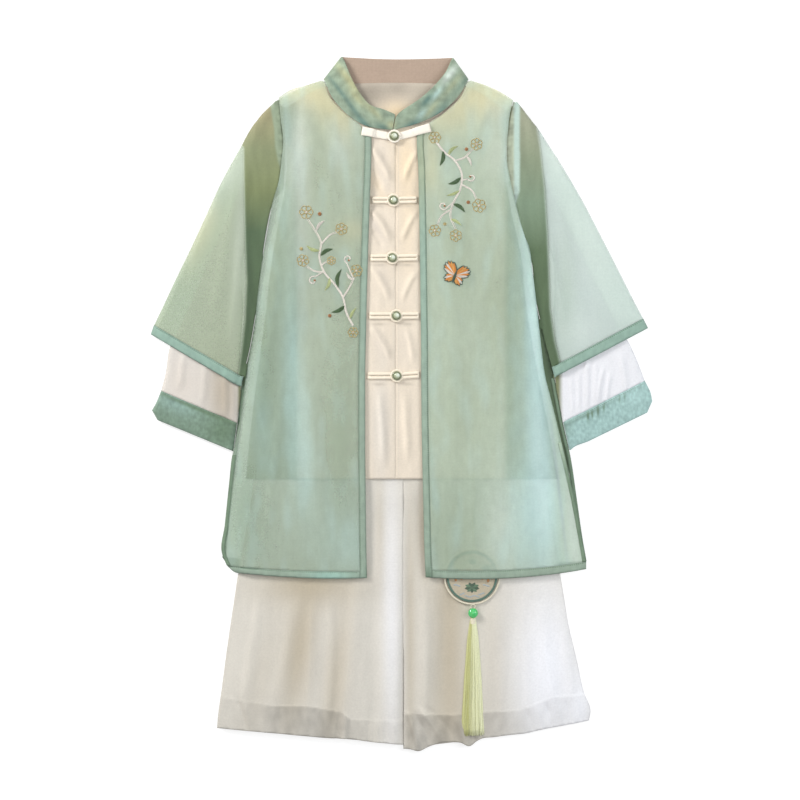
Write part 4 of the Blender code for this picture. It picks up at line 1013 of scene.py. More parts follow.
CLOTHS = (
    Cloth("robe_back", 3.0, 0.6, "robe_sheer", back_colour, no_relief, 0.0, ()),
    Cloth("robe_back_hem", 3.0, 0.8, "robe_binding", BOUND, no_relief, 0.2,
          (("robe_back", SEAM),)),
    Cloth("robe_back_slit_binding_right", 1.6, 0.5, "robe_binding", BOUND_SLIT, no_relief, 0.2,
          (("robe_back", SEAM),)),
    Cloth("robe_back_slit_binding_left", 1.6, 0.5, "robe_binding", BOUND_SLIT, no_relief, 0.2,
          (("robe_back", SEAM),)),
    Cloth("robe_front_right", 2.4, 0.6, "robe_sheer", RIGHT_CLOTH, robe_relief, 0.0, ()),
    Cloth("robe_front_left", 2.4, 0.6, "robe_sheer", LEFT_CLOTH, robe_relief, 0.0, ()),
    Cloth("robe_front_edge_right", 1.6, 0.8, "robe_binding", BOUND, robe_relief, 0.5,
          (("robe_front_right", SEAM),)),
    Cloth("robe_front_edge_left", 1.6, 0.8, "robe_binding", BOUND, robe_relief, 0.5,
          (("robe_front_left", SEAM),)),
    Cloth("robe_front_hem_right", 1.6, 0.8, "robe_binding", BOUND, robe_relief, 0.5,
          (("robe_front_right", SEAM), ("robe_front_edge_right", SEAM))),
    Cloth("robe_front_hem_left", 1.6, 0.8, "robe_binding", BOUND, robe_relief, 0.5,
          (("robe_front_left", SEAM), ("robe_front_edge_left", SEAM))),
    Cloth("robe_slit_binding_right", 1.4, 0.5, "robe_binding", BOUND_SLIT, robe_relief, 0.3,
          (("robe_front_right", SEAM),)),
    Cloth("robe_slit_binding_left", 1.4, 0.5, "robe_binding", BOUND_SLIT_LEFT, robe_relief, 0.3,
          (("robe_front_left", SEAM),)),
    Cloth("shirt_back", 6.0, 0.6, "shirt_cotton", PLAIN_SHIRT, no_relief, 0.0, ()),
    Cloth("shirt_front_right", 2.0, 0.6, "shirt_cotton", SHIRT_CLOTH, shirt_relief, 0.0, ()),
    Cloth("shirt_front_left", 2.0, 0.6, "shirt_cotton", SHIRT_CLOTH, shirt_relief, 0.0,
          (("shirt_front_right", SEAM),)),
    Cloth("trousers_back_right", 7.0, 0.6, "trouser_cotton", evenly(IVORY), no_relief, 0.0, ()),
    Cloth("trousers_back_left", 7.0, 0.6, "trouser_cotton", evenly(IVORY), no_relief, 0.0, ()),
    Cloth("trousers_front_left", 2.0, 0.6, "trouser_cotton", trouser_colour, trousers_relief, 0.0,
          ()),
    Cloth("trousers_front_right", 2.0, 0.6, "trouser_cotton", trouser_colour, trousers_relief, 0.0,
          (("trousers_front_left", Reach(2.5, 0.0)),)),
)
TUBES = (
    Cloth("robe_sleeve_right", 1.9, 0.6, "robe_sheer", robe_sleeve_colour, robe_sleeve_relief,
          0.0, (("robe_front_right", ARMHOLE),) + BESIDE_BACK_RIGHT),
    Cloth("robe_sleeve_left", 1.9, 0.6, "robe_sheer", robe_sleeve_colour, robe_sleeve_relief,
          0.0, (("robe_front_left", ARMHOLE),) + BESIDE_BACK_LEFT),
    Cloth("robe_sleeve_hem_right", 1.6, 0.8, "robe_binding", BOUND_SLEEVE, robe_sleeve_relief, 0.5,
          (("robe_sleeve_right", SEAM),) + BESIDE_BACK_RIGHT),
    Cloth("robe_sleeve_hem_left", 1.6, 0.8, "robe_binding", BOUND_SLEEVE, robe_sleeve_relief, 0.5,
          (("robe_sleeve_left", SEAM),) + BESIDE_BACK_LEFT),
    Cloth("shirt_sleeve_right", 1.8, 0.6, "shirt_cotton",
          under_trough(SNOW_CREAM, RIGHT_SHIRT_SLEEVE_TINTS),
          shirt_sleeve_relief, 0.0, BESIDE_BACK_RIGHT),
    Cloth("shirt_sleeve_left", 1.8, 0.6, "shirt_cotton", under_trough(SNOW_SHADE),
          shirt_sleeve_relief, 0.0, BESIDE_BACK_LEFT),
    Cloth("shirt_cuff_right", 1.3, 0.8, "cuff_green", cuff_colour(CUFF, CUFF_TINTS_RIGHT),
          shirt_sleeve_relief, 0.4, (("shirt_sleeve_right", SEAM),) + BESIDE_BACK_RIGHT),
    Cloth("shirt_cuff_left", 1.3, 0.8, "cuff_green", cuff_colour(CUFF_LIGHT, CUFF_TINTS_LEFT),
          shirt_sleeve_relief, 0.4, (("shirt_sleeve_left", SEAM),) + BESIDE_BACK_LEFT),
    Cloth("trousers_waistband", 6.0, 0.6, "trouser_cotton", evenly(IVORY), no_relief, 0.0, ()),
)
PUFF_REACH = 3.0          # how far from its edges a folded band is rounded
FOLD_GAP = 1.5            # where the two sides of a tube are closer, they are one fold
FREE_GAP = 3.5            # where they are further apart, the upper one creases freely
TUBE_CORE = 1.2           # the upper side never comes nearer to the lower one than this
BAND_EDGE = 0.80          # how dark a binding is at its edges, which turn away from the light
BAND_EDGE_REACH = 2.0
MOVED = {"shirt_back": neck_rise, "trousers_front_right": hem_drop, "trousers_front_left": hem_drop}
# Where each piece is folded double and painted in deep shade: where this is above 0
DOUBLED_WITH_PAINTED_SHADE = {"robe_back": lambda x, y: back_shade_share(x, y) - DOUBLED,
                 "robe_sleeve_right": trough_depth, "robe_sleeve_left": trough_depth}


def place_piece(made, slot, *nodes):
    """A finished piece rides on the only body and hides the CAD nodes it stands for. slot is not
    used.
    """
    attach(made, "root")
    if nodes:
        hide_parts(*nodes)
    return made


def rounded_edge(edge, puff):
    """How far a folded band's face lies under its middle, from its distance to the edge."""
    return -puff * (1.0 - np.clip(edge / PUFF_REACH, 0.0, 1.0)) ** 2


def band_colour(piece, x, y, edge):
    """A piece's colours, with painted shade at the edges of a binding, which turn away from the
    light, and a random mottle on it.
    """
    colours = piece.colour(x, y)
    if piece.slot == "robe_binding":
        shade = BAND_EDGE + (1.0 - BAND_EDGE) * ease(edge / BAND_EDGE_REACH)
        shade = shade * (1.0 + 0.14 * ripple(x, y, 5.0, 9.0, 18))
        colours = colours * shade[:, None]
    return colours


def fold_double(made, piece, middles):
    """Where a sheer piece is folded double and painted in deep shade, it lets less light through,
    so that the painted shade shows dark.
    """
    if piece.node in DOUBLED_WITH_PAINTED_SHADE:
        made.data.materials.append(SHEER_DOUBLED)
        depth = DOUBLED_WITH_PAINTED_SHADE[piece.node](middles[:, 0], middles[:, 1])
        for face in np.nonzero(depth > 0.0)[0]:
            made.data.polygons[int(face)].material_index = 1


def snap_to_crease(flat, rim, spacing):
    """Move the points nearest to a sleeve's crease onto it, so that it is an even line."""
    depth = trough_depth(flat[:, 0], flat[:, 1])
    near = ~rim & (np.abs(depth) < 0.5 * spacing)
    flat[near, 0] += (np.sign(flat[:, 0]) * depth)[near]


def add_sheet(piece):
    """A piece of cloth that lies flat."""
    shape = joined_shape(piece.node)
    flat, z, triangles, rim, edge = side_surface(shape, 1, piece.spacing, 6, piece.sewn)
    shape.free()
    x, y = flat[:, 0], flat[:, 1]
    z = z + piece.relief(x, y) + rounded_edge(edge, piece.puff)
    if piece.node in MOVED:
        y = y + MOVED[piece.node](x, y)
    made = add_object(piece.node + "_cloth", np.column_stack((x, y, z)), triangles,
                      MATERIALS[piece.slot])
    paint(made, band_colour(piece, x, y, edge))
    fold_double(made, piece, flat[triangles].mean(1))
    thicken(made, piece.wall)
    return place_piece(made, piece.slot, piece.node)


def add_tube(piece):
    """A sleeve, cuff or band: an upper and a lower side that meet in its folds."""
    shape = joined_shape(piece.node)
    flat, upper, triangles, rim, edge = side_surface(shape, 1, piece.spacing, 6, piece.sewn)
    if piece.node in DOUBLED_WITH_PAINTED_SHADE:
        snap_to_crease(flat, rim, piece.spacing)
    under = seen_faces(shape, -1)
    lower = relaxed(heights(under, flat, -1, 0.4), triangles, rim, 3)
    shape.free()
    fold = rim & (upper - lower < FOLD_GAP)
    x, y = flat[:, 0], flat[:, 1]
    free = ease((upper - lower) / FREE_GAP)
    middle = 0.5 * (upper + lower)
    upper = upper + free * (piece.relief(x, y) + rounded_edge(edge, piece.puff))
    upper = np.where(fold, middle, np.maximum(upper, lower + np.minimum(TUBE_CORE, 0.4 * edge)))
    below = np.arange(len(flat)) + len(flat)
    below[fold] = np.nonzero(fold)[0]
    points = np.concatenate((np.column_stack((flat, upper)), np.column_stack((flat, lower))))
    faces = np.concatenate((triangles, below[triangles][:, ::-1]))
    used = np.unique(faces)
    place = np.zeros(len(points), int)
    place[used] = np.arange(len(used))
    made = add_object(piece.node + "_cloth", points[used], place[faces], MATERIALS[piece.slot])
    colours = band_colour(piece, x, y, edge)
    paint(made, np.concatenate((colours, colours))[used])
    fold_double(made, piece, flat[triangles].mean(1))
    thicken(made, piece.wall)
    return place_piece(made, piece.slot, piece.node)


def add_collar():
    """The stand collar, from its CAD solid's own faces, with its inner back face painted taupe as
    its shade behind the neck.
    """
    shape = joined_shape("robe_collar")
    bmesh.ops.join_triangles(shape, faces=shape.faces, angle_face_threshold=math.pi,
                             angle_shape_threshold=math.pi)
    creased = shape.edges.layers.float.new("crease_edge")
    for edge in shape.edges:
        if edge.is_manifold and edge.calc_face_angle() > math.radians(50.0):
            edge[creased] = 0.6
    bmesh.ops.scale(shape, vec=(MM,) * 3, verts=shape.verts)
    coarse = bpy.data.meshes.new("collar_cage")
    shape.to_mesh(coarse)
    shape.free()
    cage = bpy.data.objects.new("collar_cage", coarse)
    bpy.context.scene.collection.objects.link(cage)
    smooth = cage.modifiers.new("Smooth", "SUBSURF")
    smooth.levels = smooth.render_levels = 3
    depsgraph = bpy.context.evaluated_depsgraph_get()
    mesh = bpy.data.meshes.new_from_object(cage.evaluated_get(depsgraph))
    bpy.data.objects.remove(cage)
    mesh.name = "robe_collar_cloth"
    mesh.shade_smooth()
    mesh.materials.clear()
    mesh.materials.append(MATERIALS["robe_binding"])
    made = bpy.data.objects.new("robe_collar_cloth", mesh)
    bpy.context.scene.collection.objects.link(made)
    points = vertex_values(mesh, "co") / MM
    normals = vertex_values(mesh, "normal")
    colours = tinted(COLLAR, COLLAR_TINTS, points[:, 0], points[:, 1])
    mottle = 0.32 * ripple(points[:, 0], points[:, 1], 8.0, 6.0, 19)
    mottle += 0.12 * ripple(points[:, 0], points[:, 1], 2.2, 2.2, 20)
    colours *= (1.0 + mottle)[:, None]
    # Painted shade: the collar's inner back face is painted taupe
    lining = ease((normals[:, 2] - 0.1) / 0.3) * ease((3.2 - points[:, 2]) / 0.8)
    lining *= ease((points[:, 1] - 378.0) / 3.0)
    colours += (np.array(TAUPE) - colours) * lining[:, None]
    paint(made, colours)
    lift = relief(COLLAR_CREASES, points[:, 0], points[:, 1])
    lift += 0.2 * ripple(points[:, 0], points[:, 1], 5.0, 5.0, 12)
    points[:, 2] += lift * ease((normals[:, 2] - 0.3) / 0.4) * ease((points[:, 2] - 5.0) / 2.0)
    mesh.vertices.foreach_set("co", (points * MM).ravel())
    return place_piece(made, "robe_binding", "robe_collar")


def vertex_values(mesh, name):
    values = np.empty(len(mesh.vertices) * 3)
    mesh.vertices.foreach_get(name, values)
    return values.reshape(-1, 3)


PIECES = {}
for cloth in CLOTHS:
    PIECES[cloth.node] = add_sheet(cloth)
for cloth in TUBES:
    PIECES[cloth.node] = add_tube(cloth)
PIECES["robe_collar"] = add_collar()

# ---------------------------------------------------------------------------------------------
# What lies on the cloth
# ---------------------------------------------------------------------------------------------


class Ground:
    """The upper face of some pieces of cloth, in millimetres, to lay other things on."""

    def __init__(self, *nodes):
        points = []
        triangles = []
        for node in nodes:
            mesh = PIECES[node].data
            start = len(points)
            points += [v.co / MM for v in mesh.vertices]
            triangles += [[start + v for v in p.vertices] for p in mesh.polygons]
        self.tree = BVHTree.FromPolygons(points, triangles)

    def height(self, x, y):
        hit = self.tree.ray_cast(Vector((x, y, 100.0)), -UP)[0]
        if hit is None:
            hit = self.tree.find_nearest(Vector((x, y, 8.0)))[0]
        return hit.z

    def highest(self, x, y, reach_x, reach_y):
        """The greatest height within the given reach."""
        return max(self.height(x + i * reach_x, y + j * reach_y)
                   for i in (-1, 0, 1) for j in (-1, 0, 1))


class Pile:
    """Points, faces, colours and stitch phases of many small shapes that make one piece."""

    def __init__(self, name):
        self.name = name
        self.points = []
        self.faces = []
        self.colours = []
        self.stitches = []

    def add(self, points, faces, colour, stitches=None):
        start = len(self.points)
        self.points += [tuple(p) for p in points]
        self.faces += [tuple(start + i for i in face) for face in faces]
        self.colours += [colour] * len(points)
        self.stitches += list(stitches) if stitches is not None else [0.0] * len(points)

    def build(self, slot, *nodes):
        made = add_object(self.name, self.points, self.faces, MATERIALS[slot])
        paint(made, np.array(self.colours))
        layer = made.data.attributes.new("stitch", "FLOAT", "POINT")
        layer.data.foreach_set("value", np.array(self.stitches, np.float32))
        return place_piece(made, slot, *nodes)


def smooth_path(points, step):
    """Points every step millimetres along a smooth curve through the given points (n, 2 or 3)."""
    points = np.array(points, float)
    if len(points) == 2:
        count = max(2, round(float(np.linalg.norm(points[1] - points[0])) / step))
        return points[0] + (points[1] - points[0]) * np.linspace(0.0, 1.0, count + 1)[:, None]
    padded = np.concatenate((2 * points[:1] - points[1:2], points, 2 * points[-1:] - points[-2:-1]))
    result = []
    for a, b, c, d in zip(padded, padded[1:], padded[2:], padded[3:]):
        count = max(1, round(float(np.linalg.norm(c - b)) / step))
        for k in range(count):
            t = k / count
            result.append(0.5 * (2 * b + (c - a) * t + (2 * a - 5 * b + 4 * c - d) * t ** 2
                                 + (3 * b - 3 * c + d - a) * t ** 3))
    result.append(points[-1])
    return np.array(result)


def arc(x, y, radius, start, end, step=20.0):
    """Points of an arc, from angle start to end in degrees. radius may be (first, last)."""
    first, last = radius if hasattr(radius, "__len__") else (radius, radius)
    count = max(2, round(abs(end - start) / step))
    points = []
    for i in range(count + 1):
        t = i / count
        angle = math.radians(start + (end - start) * t)
        size = first + (last - first) * t
        points.append((x + size * math.cos(angle), y + size * math.sin(angle)))
    return points


CROWN = (-1.0, -0.6, 0.0, 0.6, 1.0)     # across a ribbon, in half widths


def add_ribbon(pile, ground, path, half_width, thick, colour, pitch=0.5, slant=0.5, lift=0.05):
    """A band of satin stitch along a path: crowned, laid on the ground, its threads across it.
    half_width is a number, or a function of the share of the length."""
    path = smooth_path(path, 1.2)
    ahead = np.gradient(path, axis=0)
    ahead /= np.linalg.norm(ahead, axis=1)[:, None] + 1e-9
    side = np.column_stack((-ahead[:, 1], ahead[:, 0]))
    along = np.concatenate(([0.0], np.cumsum(np.linalg.norm(np.diff(path, axis=0), axis=1))))
    points, stitches = [], []
    for i, middle in enumerate(path):
        half = half_width(along[i] / along[-1]) if callable(half_width) else half_width
        for across in CROWN:
            x, y = middle + side[i] * across * half
            rise = thick * (1.0 - across ** 2) * min(1.0, half)
            points.append((x, y, ground.height(x, y) + lift + rise))
            stitches.append((along[i] + slant * across * half) / pitch)
    columns = len(CROWN)
    faces = []
    for i in range(len(path) - 1):
        for j in range(columns - 1):
            a = i * columns + j
            faces.append((a, a + columns, a + columns + 1, a + 1))
    pile.add(points, [face[::-1] for face in faces], colour, stitches)


def leaf_width(half):
    """Width of a leaf along its length: pointed at both ends, widest before its middle."""
    return lambda t: half * max(0.06, math.sin(math.pi * t ** 0.8) ** 0.8)


def taper(half, tip=0.35):
    return lambda t: half * (1.0 - (1.0 - tip) * t)


def add_leaf(pile, ground, base, tip, bend, half, colour):
    """A leaf of satin stitch, its tip bent aside."""
    base, tip = np.array(base, float), np.array(tip, float)
    run = tip - base
    middle = base + 0.5 * run + bend * np.array((-run[1], run[0])) / np.linalg.norm(run)
    add_ribbon(pile, ground, (base, middle, tip), leaf_width(half), 0.7, colour, 0.6, 0.8)


def add_dome(pile, ground, x, y, radius, thick, colour, sides=14, rings=4):
    """A small round knot or berry."""
    base = ground.height(x, y)
    points = [(x, y, base + thick)]
    stitches = [0.0]
    for ring in range(1, rings + 1):
        angle = 0.5 * math.pi * ring / rings
        for side in range(sides):
            turn = 2.0 * math.pi * side / sides
            reach = radius * math.sin(angle)
            points.append((x + reach * math.cos(turn), y + reach * math.sin(turn),
                           base + thick * math.cos(angle)))
            stitches.append(reach * math.cos(turn - 0.6) / 0.5)
    faces = [(0, 1 + side, 1 + (side + 1) % sides) for side in range(sides)]
    for ring in range(rings - 1):
        for side in range(sides):
            a = 1 + ring * sides + side
            b = 1 + ring * sides + (side + 1) % sides
            faces.append((a, a + sides, b + sides, b))
    pile.add(points, faces, colour, stitches)


def add_cord(pile, path, radius, colour, sides=10, flatten=1.0, twist=0.0):
    """A round or flattened cord along points (n, 3), closed at its ends. twist is the stitch
    phases for each millimetre."""
    path = np.array(path, float)
    ahead = np.gradient(path, axis=0)
    ahead /= np.linalg.norm(ahead, axis=1)[:, None] + 1e-9
    side = np.cross(ahead, (0.0, 0.0, 1.0))
    side /= np.linalg.norm(side, axis=1)[:, None] + 1e-9
    over = np.cross(side, ahead)
    along = np.concatenate(([0.0], np.cumsum(np.linalg.norm(np.diff(path, axis=0), axis=1))))
    points, stitches = [], []
    for i, middle in enumerate(path):
        size = radius(along[i] / along[-1]) if callable(radius) else radius
        for k in range(sides):
            turn = 2.0 * math.pi * k / sides
            points.append(middle + size * (math.cos(turn) * side[i]
                                           + flatten * math.sin(turn) * over[i]))
            stitches.append(along[i] * twist + k / sides)
    faces = []
    for i in range(len(path) - 1):
        for k in range(sides):
            a, b = i * sides + k, i * sides + (k + 1) % sides
            faces.append((a, b, b + sides, a + sides))
    last = (len(path) - 1) * sides
    faces.append(tuple(reversed(range(sides))))
    faces.append(tuple(range(last, last + sides)))
    pile.add(points, faces, colour, stitches)


# ---------------------------------------------------------------------------------------------
# Frogs
# ---------------------------------------------------------------------------------------------
FROGS = 5
CORD_HALF = 1.9           # half the width of one of a strap's two cords
CORD_APART = 2.3          # from the strap's middle to each cord's
CORD_FLAT = 0.6
BAND_HALF = 5.4           # half the width of the topmost frog's flat straps
BAND_FLAT = 0.22
LOOP_RADIUS = 1.3
BUTTON_PROFILE = ((0.0, 1.0), (0.35, 0.97), (0.62, 0.82), (0.74, 0.62), (0.80, 0.52),
                  (0.86, 0.60), (0.94, 0.58), (1.0, 0.42), (0.97, 0.15), (0.80, 0.0))
BUTTON_SHARE = 0.92       # of the CAD button's radius, the rest being the loop round it
# PEARL_LIGHT is the button's painted glint
PEARL = (0.360, 0.400, 0.240)
PEARL_LIGHT = (0.820, 0.880, 0.780)
PEARL_RIM = (0.110, 0.130, 0.060)


def strap_end(number, side):
    """The middle of a strap's outer end, from its CAD node."""
    shape = joined_shape(f"frog_{number}_strap_{side}")
    points = np.array([v.co for v in shape.verts])
    shape.free()
    end = points[:, 0].min() if side == "right" else points[:, 0].max()
    near = points[np.abs(points[:, 0] - end) < 0.5]
    return np.array((end, 0.5 * (near[:, 1].min() + near[:, 1].max())))


def node_box(node):
    """The lowest and highest corners of a node, in millimetres."""
    return tuple(np.array(corner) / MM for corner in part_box(node))


def add_button(number):
    """A pearly dome in a raised lip, with a painted glint towards its upper right."""
    low, high = node_box(f"frog_{number}_button")
    middle = 0.5 * (low + high)
    radius = 0.5 * (high[0] - low[0]) * BUTTON_SHARE
    sides = 40
    pile = Pile(f"frog_{number}_button_dome")
    points, colours = [], []
    for reach, rise in BUTTON_PROFILE:
        for side in range(sides):
            turn = 2.0 * math.pi * side / sides
            x, y = reach * math.cos(turn), reach * math.sin(turn)
            points.append((middle[0] + radius * x, middle[1] + radius * y,
                           low[2] + 0.6 + rise * (high[2] - low[2])))
            # Painted glint, lighter towards the upper right
            glow = max(0.0, 1.0 - math.hypot(x - 0.25, y - 0.2) / 0.75)
            colour = [a + (b - a) * glow for a, b in zip(PEARL, PEARL_LIGHT)]
            colours.append(PEARL_RIM if 0.7 < reach < 0.9 else colour)
    faces = []
    for ring in range(len(BUTTON_PROFILE) - 1):
        faces += band_faces(ring * sides, sides)
    last = (len(BUTTON_PROFILE) - 1) * sides
    faces.append(tuple(reversed(range(last, last + sides))))
    pile.add(points, faces, PEARL)
    pile.colours = colours
    return pile.build("button_pearl", f"frog_{number}_button")


def band_faces(start, sides):
    """The faces between one ring of points and the next."""
    faces = []
    for side in range(sides):
        a, b = start + side, start + (side + 1) % sides
        faces.append((a, a + sides, b + sides, b))
    return faces


def add_frog(number):
    """A frog: a strap on either side, and a loop round the button."""
    ground = Ground("shirt_front_right", "shirt_front_left", "robe_front_right",
                    "robe_front_left", "robe_front_edge_right", "robe_front_edge_left")
    low, high = node_box(f"frog_{number}_button")
    button = 0.5 * (low + high)
    ring = 0.5 * (high[0] - low[0]) + 0.9
    top = number == 1
    colour = SATIN_WHITE if top else SATIN
    for side, away in (("right", -1.0), ("left", 1.0)):
        pile = Pile(f"frog_{number}_cords_{side}")
        end = strap_end(number, side)
        near = button[:2] + np.array((away * (ring - 1.0), 0.0))
        if top:
            path = [(x, y, ground.highest(x, y, 3.0, BAND_HALF) + BAND_HALF * BAND_FLAT)
                    for x, y in smooth_path((end, near), 2.0)]
            add_cord(pile, path, taper(BAND_HALF, 0.82), colour, 16, BAND_FLAT, 0.4)
        else:
            for over in (CORD_APART, -CORD_APART):
                path = [(x, y + over, ground.height(x, y) + CORD_HALF * CORD_FLAT)
                        for x, y in smooth_path((end, near), 2.0)]
                add_cord(pile, path, CORD_HALF, colour, 12, CORD_FLAT, 0.4)
            path = [(end[0] - away, end[1] + over, ground.height(*end) + 0.8)
                    for over in (-CORD_APART - 1.4, 0.0, CORD_APART + 1.4)]
            add_cord(pile, smooth_path(path, 1.0), 1.2, colour, 8, CORD_FLAT, 0.4)
        if away < 0.0:
            path = [(x, y, low[2] + 1.6) for x, y in arc(*button[:2], ring, 0.0, 360.0, 12.0)]
            add_cord(pile, path, LOOP_RADIUS, colour, 10, 0.8, 0.4)
        pile.build("frog_satin", f"frog_{number}_strap_{side}")
    add_button(number)


for number in range(1, FROGS + 1):
    add_frog(number)

# ---------------------------------------------------------------------------------------------
# Embroidery on the robe's fronts: a branch on each, with leaves, curls, berries and single gold
# blossoms, and a butterfly
# ---------------------------------------------------------------------------------------------


def add_tendril(pile, ground, path, half, colour):
    add_ribbon(pile, ground, path, taper(half), 0.5, colour, 0.9, 0.9)


def add_curl(pile, ground, x, y, radius, start, turn, colour):
    """A curled tendril that winds in to a berry."""
    points = arc(x, y, (radius, 0.35 * radius), start, start + turn)
    add_ribbon(pile, ground, points, 0.8, 0.5, colour, 0.9, 0.9)
    add_dome(pile, ground, *points[-1], 1.3, 0.9, RUST_SILK)


def add_blossom(pile, ground, x, y, size, petals, turn, colour, heart):
    """A blossom in outline: each petal is a loop of gold thread over the bare cloth."""
    for petal in range(petals):
        angle = math.radians(turn + 360.0 * petal / petals)
        ahead = np.array((math.cos(angle), math.sin(angle)))
        side = np.array((-ahead[1], ahead[0]))
        loop = [(x, y)]
        for along, across in ((0.45, 0.30), (0.85, 0.34), (1.0, 0.0), (0.85, -0.34),
                              (0.45, -0.30), (0.0, 0.0)):
            loop.append(tuple(np.array((x, y)) + size * (along * ahead + across * side)))
        add_ribbon(pile, ground, loop, 0.55, 0.5, colour, 0.5, 0.6)
    add_dome(pile, ground, x, y, 0.2 * size, 0.9, heart, 8, 3)


def add_twin(pile, ground, path, half, colour, apart=1.6):
    """A stem with a second thread beside it that parts from it towards its end."""
    add_tendril(pile, ground, path, half, colour)
    path = np.array(path, float)
    ahead = np.gradient(path, axis=0)
    ahead /= np.linalg.norm(ahead, axis=1)[:, None]
    side = np.column_stack((-ahead[:, 1], ahead[:, 0]))
    share = np.linspace(0.3, 1.0, len(path))[:, None]
    add_tendril(pile, ground, path + apart * share * side, 0.6 * half, colour)


def add_sprays(name, ground, stems, leaves, curls, blossoms, berries):
    """One front's embroidery, from tables: each row is a stem, a leaf, a curl and so on."""
    pile = Pile(name)
    for half, path in stems:
        add_twin(pile, ground, path, half, WHITE_SILK)
    for start, end, bend, width, silk in leaves:
        add_leaf(pile, ground, start, end, bend, width, silk)
    for stem, x, y, radius, start, turn in curls:
        opening = arc(x, y, (radius, radius), start, start + 1.0)[0]
        joint = (0.5 * (stem[0] + opening[0]), 0.5 * (stem[1] + opening[1]))
        add_ribbon(pile, ground, (stem, joint, opening), 0.8, 0.5, WHITE_SILK, 0.9, 0.9)
        add_curl(pile, ground, x, y, radius, start, turn, WHITE_SILK)
    for i, (x, y, size) in enumerate(blossoms):
        add_blossom(pile, ground, x, y, size, 6, 23 * i, GOLD_SILK, WHITE_SILK)
    for x, y, radius, silk in berries:
        add_dome(pile, ground, x, y, radius, 1.2, silk)
    return pile


def add_right_spray():
    """On the wearer's right front: a branch that rises outwards, with blossoms along it."""
    stems = (
        (1.2, ((-58, 92), (-66, 108), (-70, 126), (-80, 142), (-92, 156), (-98, 174), (-96, 192),
               (-104, 208), (-112, 220))),
        (1.0, ((-70, 126), (-62, 138), (-56, 150))),
        (1.0, ((-92, 156), (-104, 158), (-114, 164))),
        (1.0, ((-96, 190), (-86, 200), (-76, 204))),
        (0.8, ((-96, 164), (-92, 167), (-87, 169))),
    )
    leaves = (
        ((-68, 116), (-84, 108), 2, 2.4, LEAF_SILK), ((-76, 138), (-72, 160), 3, 2.4, LEAF_SILK),
        ((-97, 176), (-82, 184), 2, 2.4, LEAF_SILK), ((-98, 182), (-114, 188), 2, 2.0, LIME_SILK),
        ((-62, 100), (-54, 114), 1, 1.8, LIME_SILK), ((-86, 150), (-92, 134), 2, 2.0, LIME_SILK),
        ((-102, 206), (-92, 218), 2, 1.8, WHITE_SILK), ((-58, 146), (-66, 156), 1, 1.6, WHITE_SILK),
    )
    curls = (((-93, 157), -106, 146, 5.5, 60, 310), ((-57, 147), -64, 172, 5.0, 250, -310))
    blossoms = ((-114, 228, 8), (-72, 208, 7), (-118, 170, 7), (-54, 158, 7), (-84, 170, 5),
                (-58, 84, 6))
    berries = ((-98, 226, 2.4, RUST_SILK), (-120, 184, 2.2, GOLD_SILK), (-86, 104, 2.2, RUST_SILK))
    pile = add_sprays("embroidery_right", Ground("robe_front_right"), stems, leaves, curls,
                      blossoms, berries)
    return pile.build("charm_silk")


def add_left_spray():
    """On the wearer's left front: a drooping branch with blossoms, and a butterfly below it."""
    ground = Ground("robe_front_left", "robe_front_edge_left")
    stems = (
        (1.2, ((42, 312), (52, 300), (64, 290), (72, 274), (70, 256), (62, 240), (58, 224),
               (64, 208))),
        (1.0, ((64, 290), (76, 294), (86, 304))),
        (1.0, ((71, 262), (84, 254), (90, 242))),
        (1.0, ((60, 232), (48, 224), (42, 212))),
    )
    leaves = (
        ((50, 302), (46, 284), 2, 2.4, LEAF_SILK), ((71, 270), (56, 262), 2, 2.4, LEAF_SILK),
        ((62, 238), (76, 228), 2, 2.4, LEAF_SILK), ((56, 297), (68, 308), 2, 2.0, LIME_SILK),
        ((70, 254), (54, 248), 1, 1.8, LIME_SILK), ((59, 220), (72, 212), 1, 1.8, LIME_SILK),
        ((78, 296), (84, 284), 1, 1.6, WHITE_SILK),
    )
    curls = (((62, 240), 50, 236, 5.0, 300, -310), ((71, 266), 84, 270, 5.0, 200, 310))
    blossoms = ((40, 318, 7), (90, 310, 7), (93, 236, 8), (40, 206, 7), (65, 200, 7))
    berries = ((78, 304, 2.2, RUST_SILK), (80, 240, 2.2, RUST_SILK), (52, 214, 2.0, GOLD_SILK))
    pile = add_sprays("embroidery_left", ground, stems, leaves, curls, blossoms, berries)
    add_butterfly(pile, ground, 64, 152, 19.0)
    return pile.build("charm_silk")


# A butterfly's wings, alike on both sides of its body: from one angle off its heading to
# another, the length and the strips of satin stitch
WINGS = ((25, 75, 1.0, 6), (105, 150, 0.7, 4))
WING_SILKS = (ORANGE_SILK, AMBER_SILK, ORANGE_SILK, WHITE_SILK, ORANGE_SILK, WHITE_SILK)
HEADING = 70.0


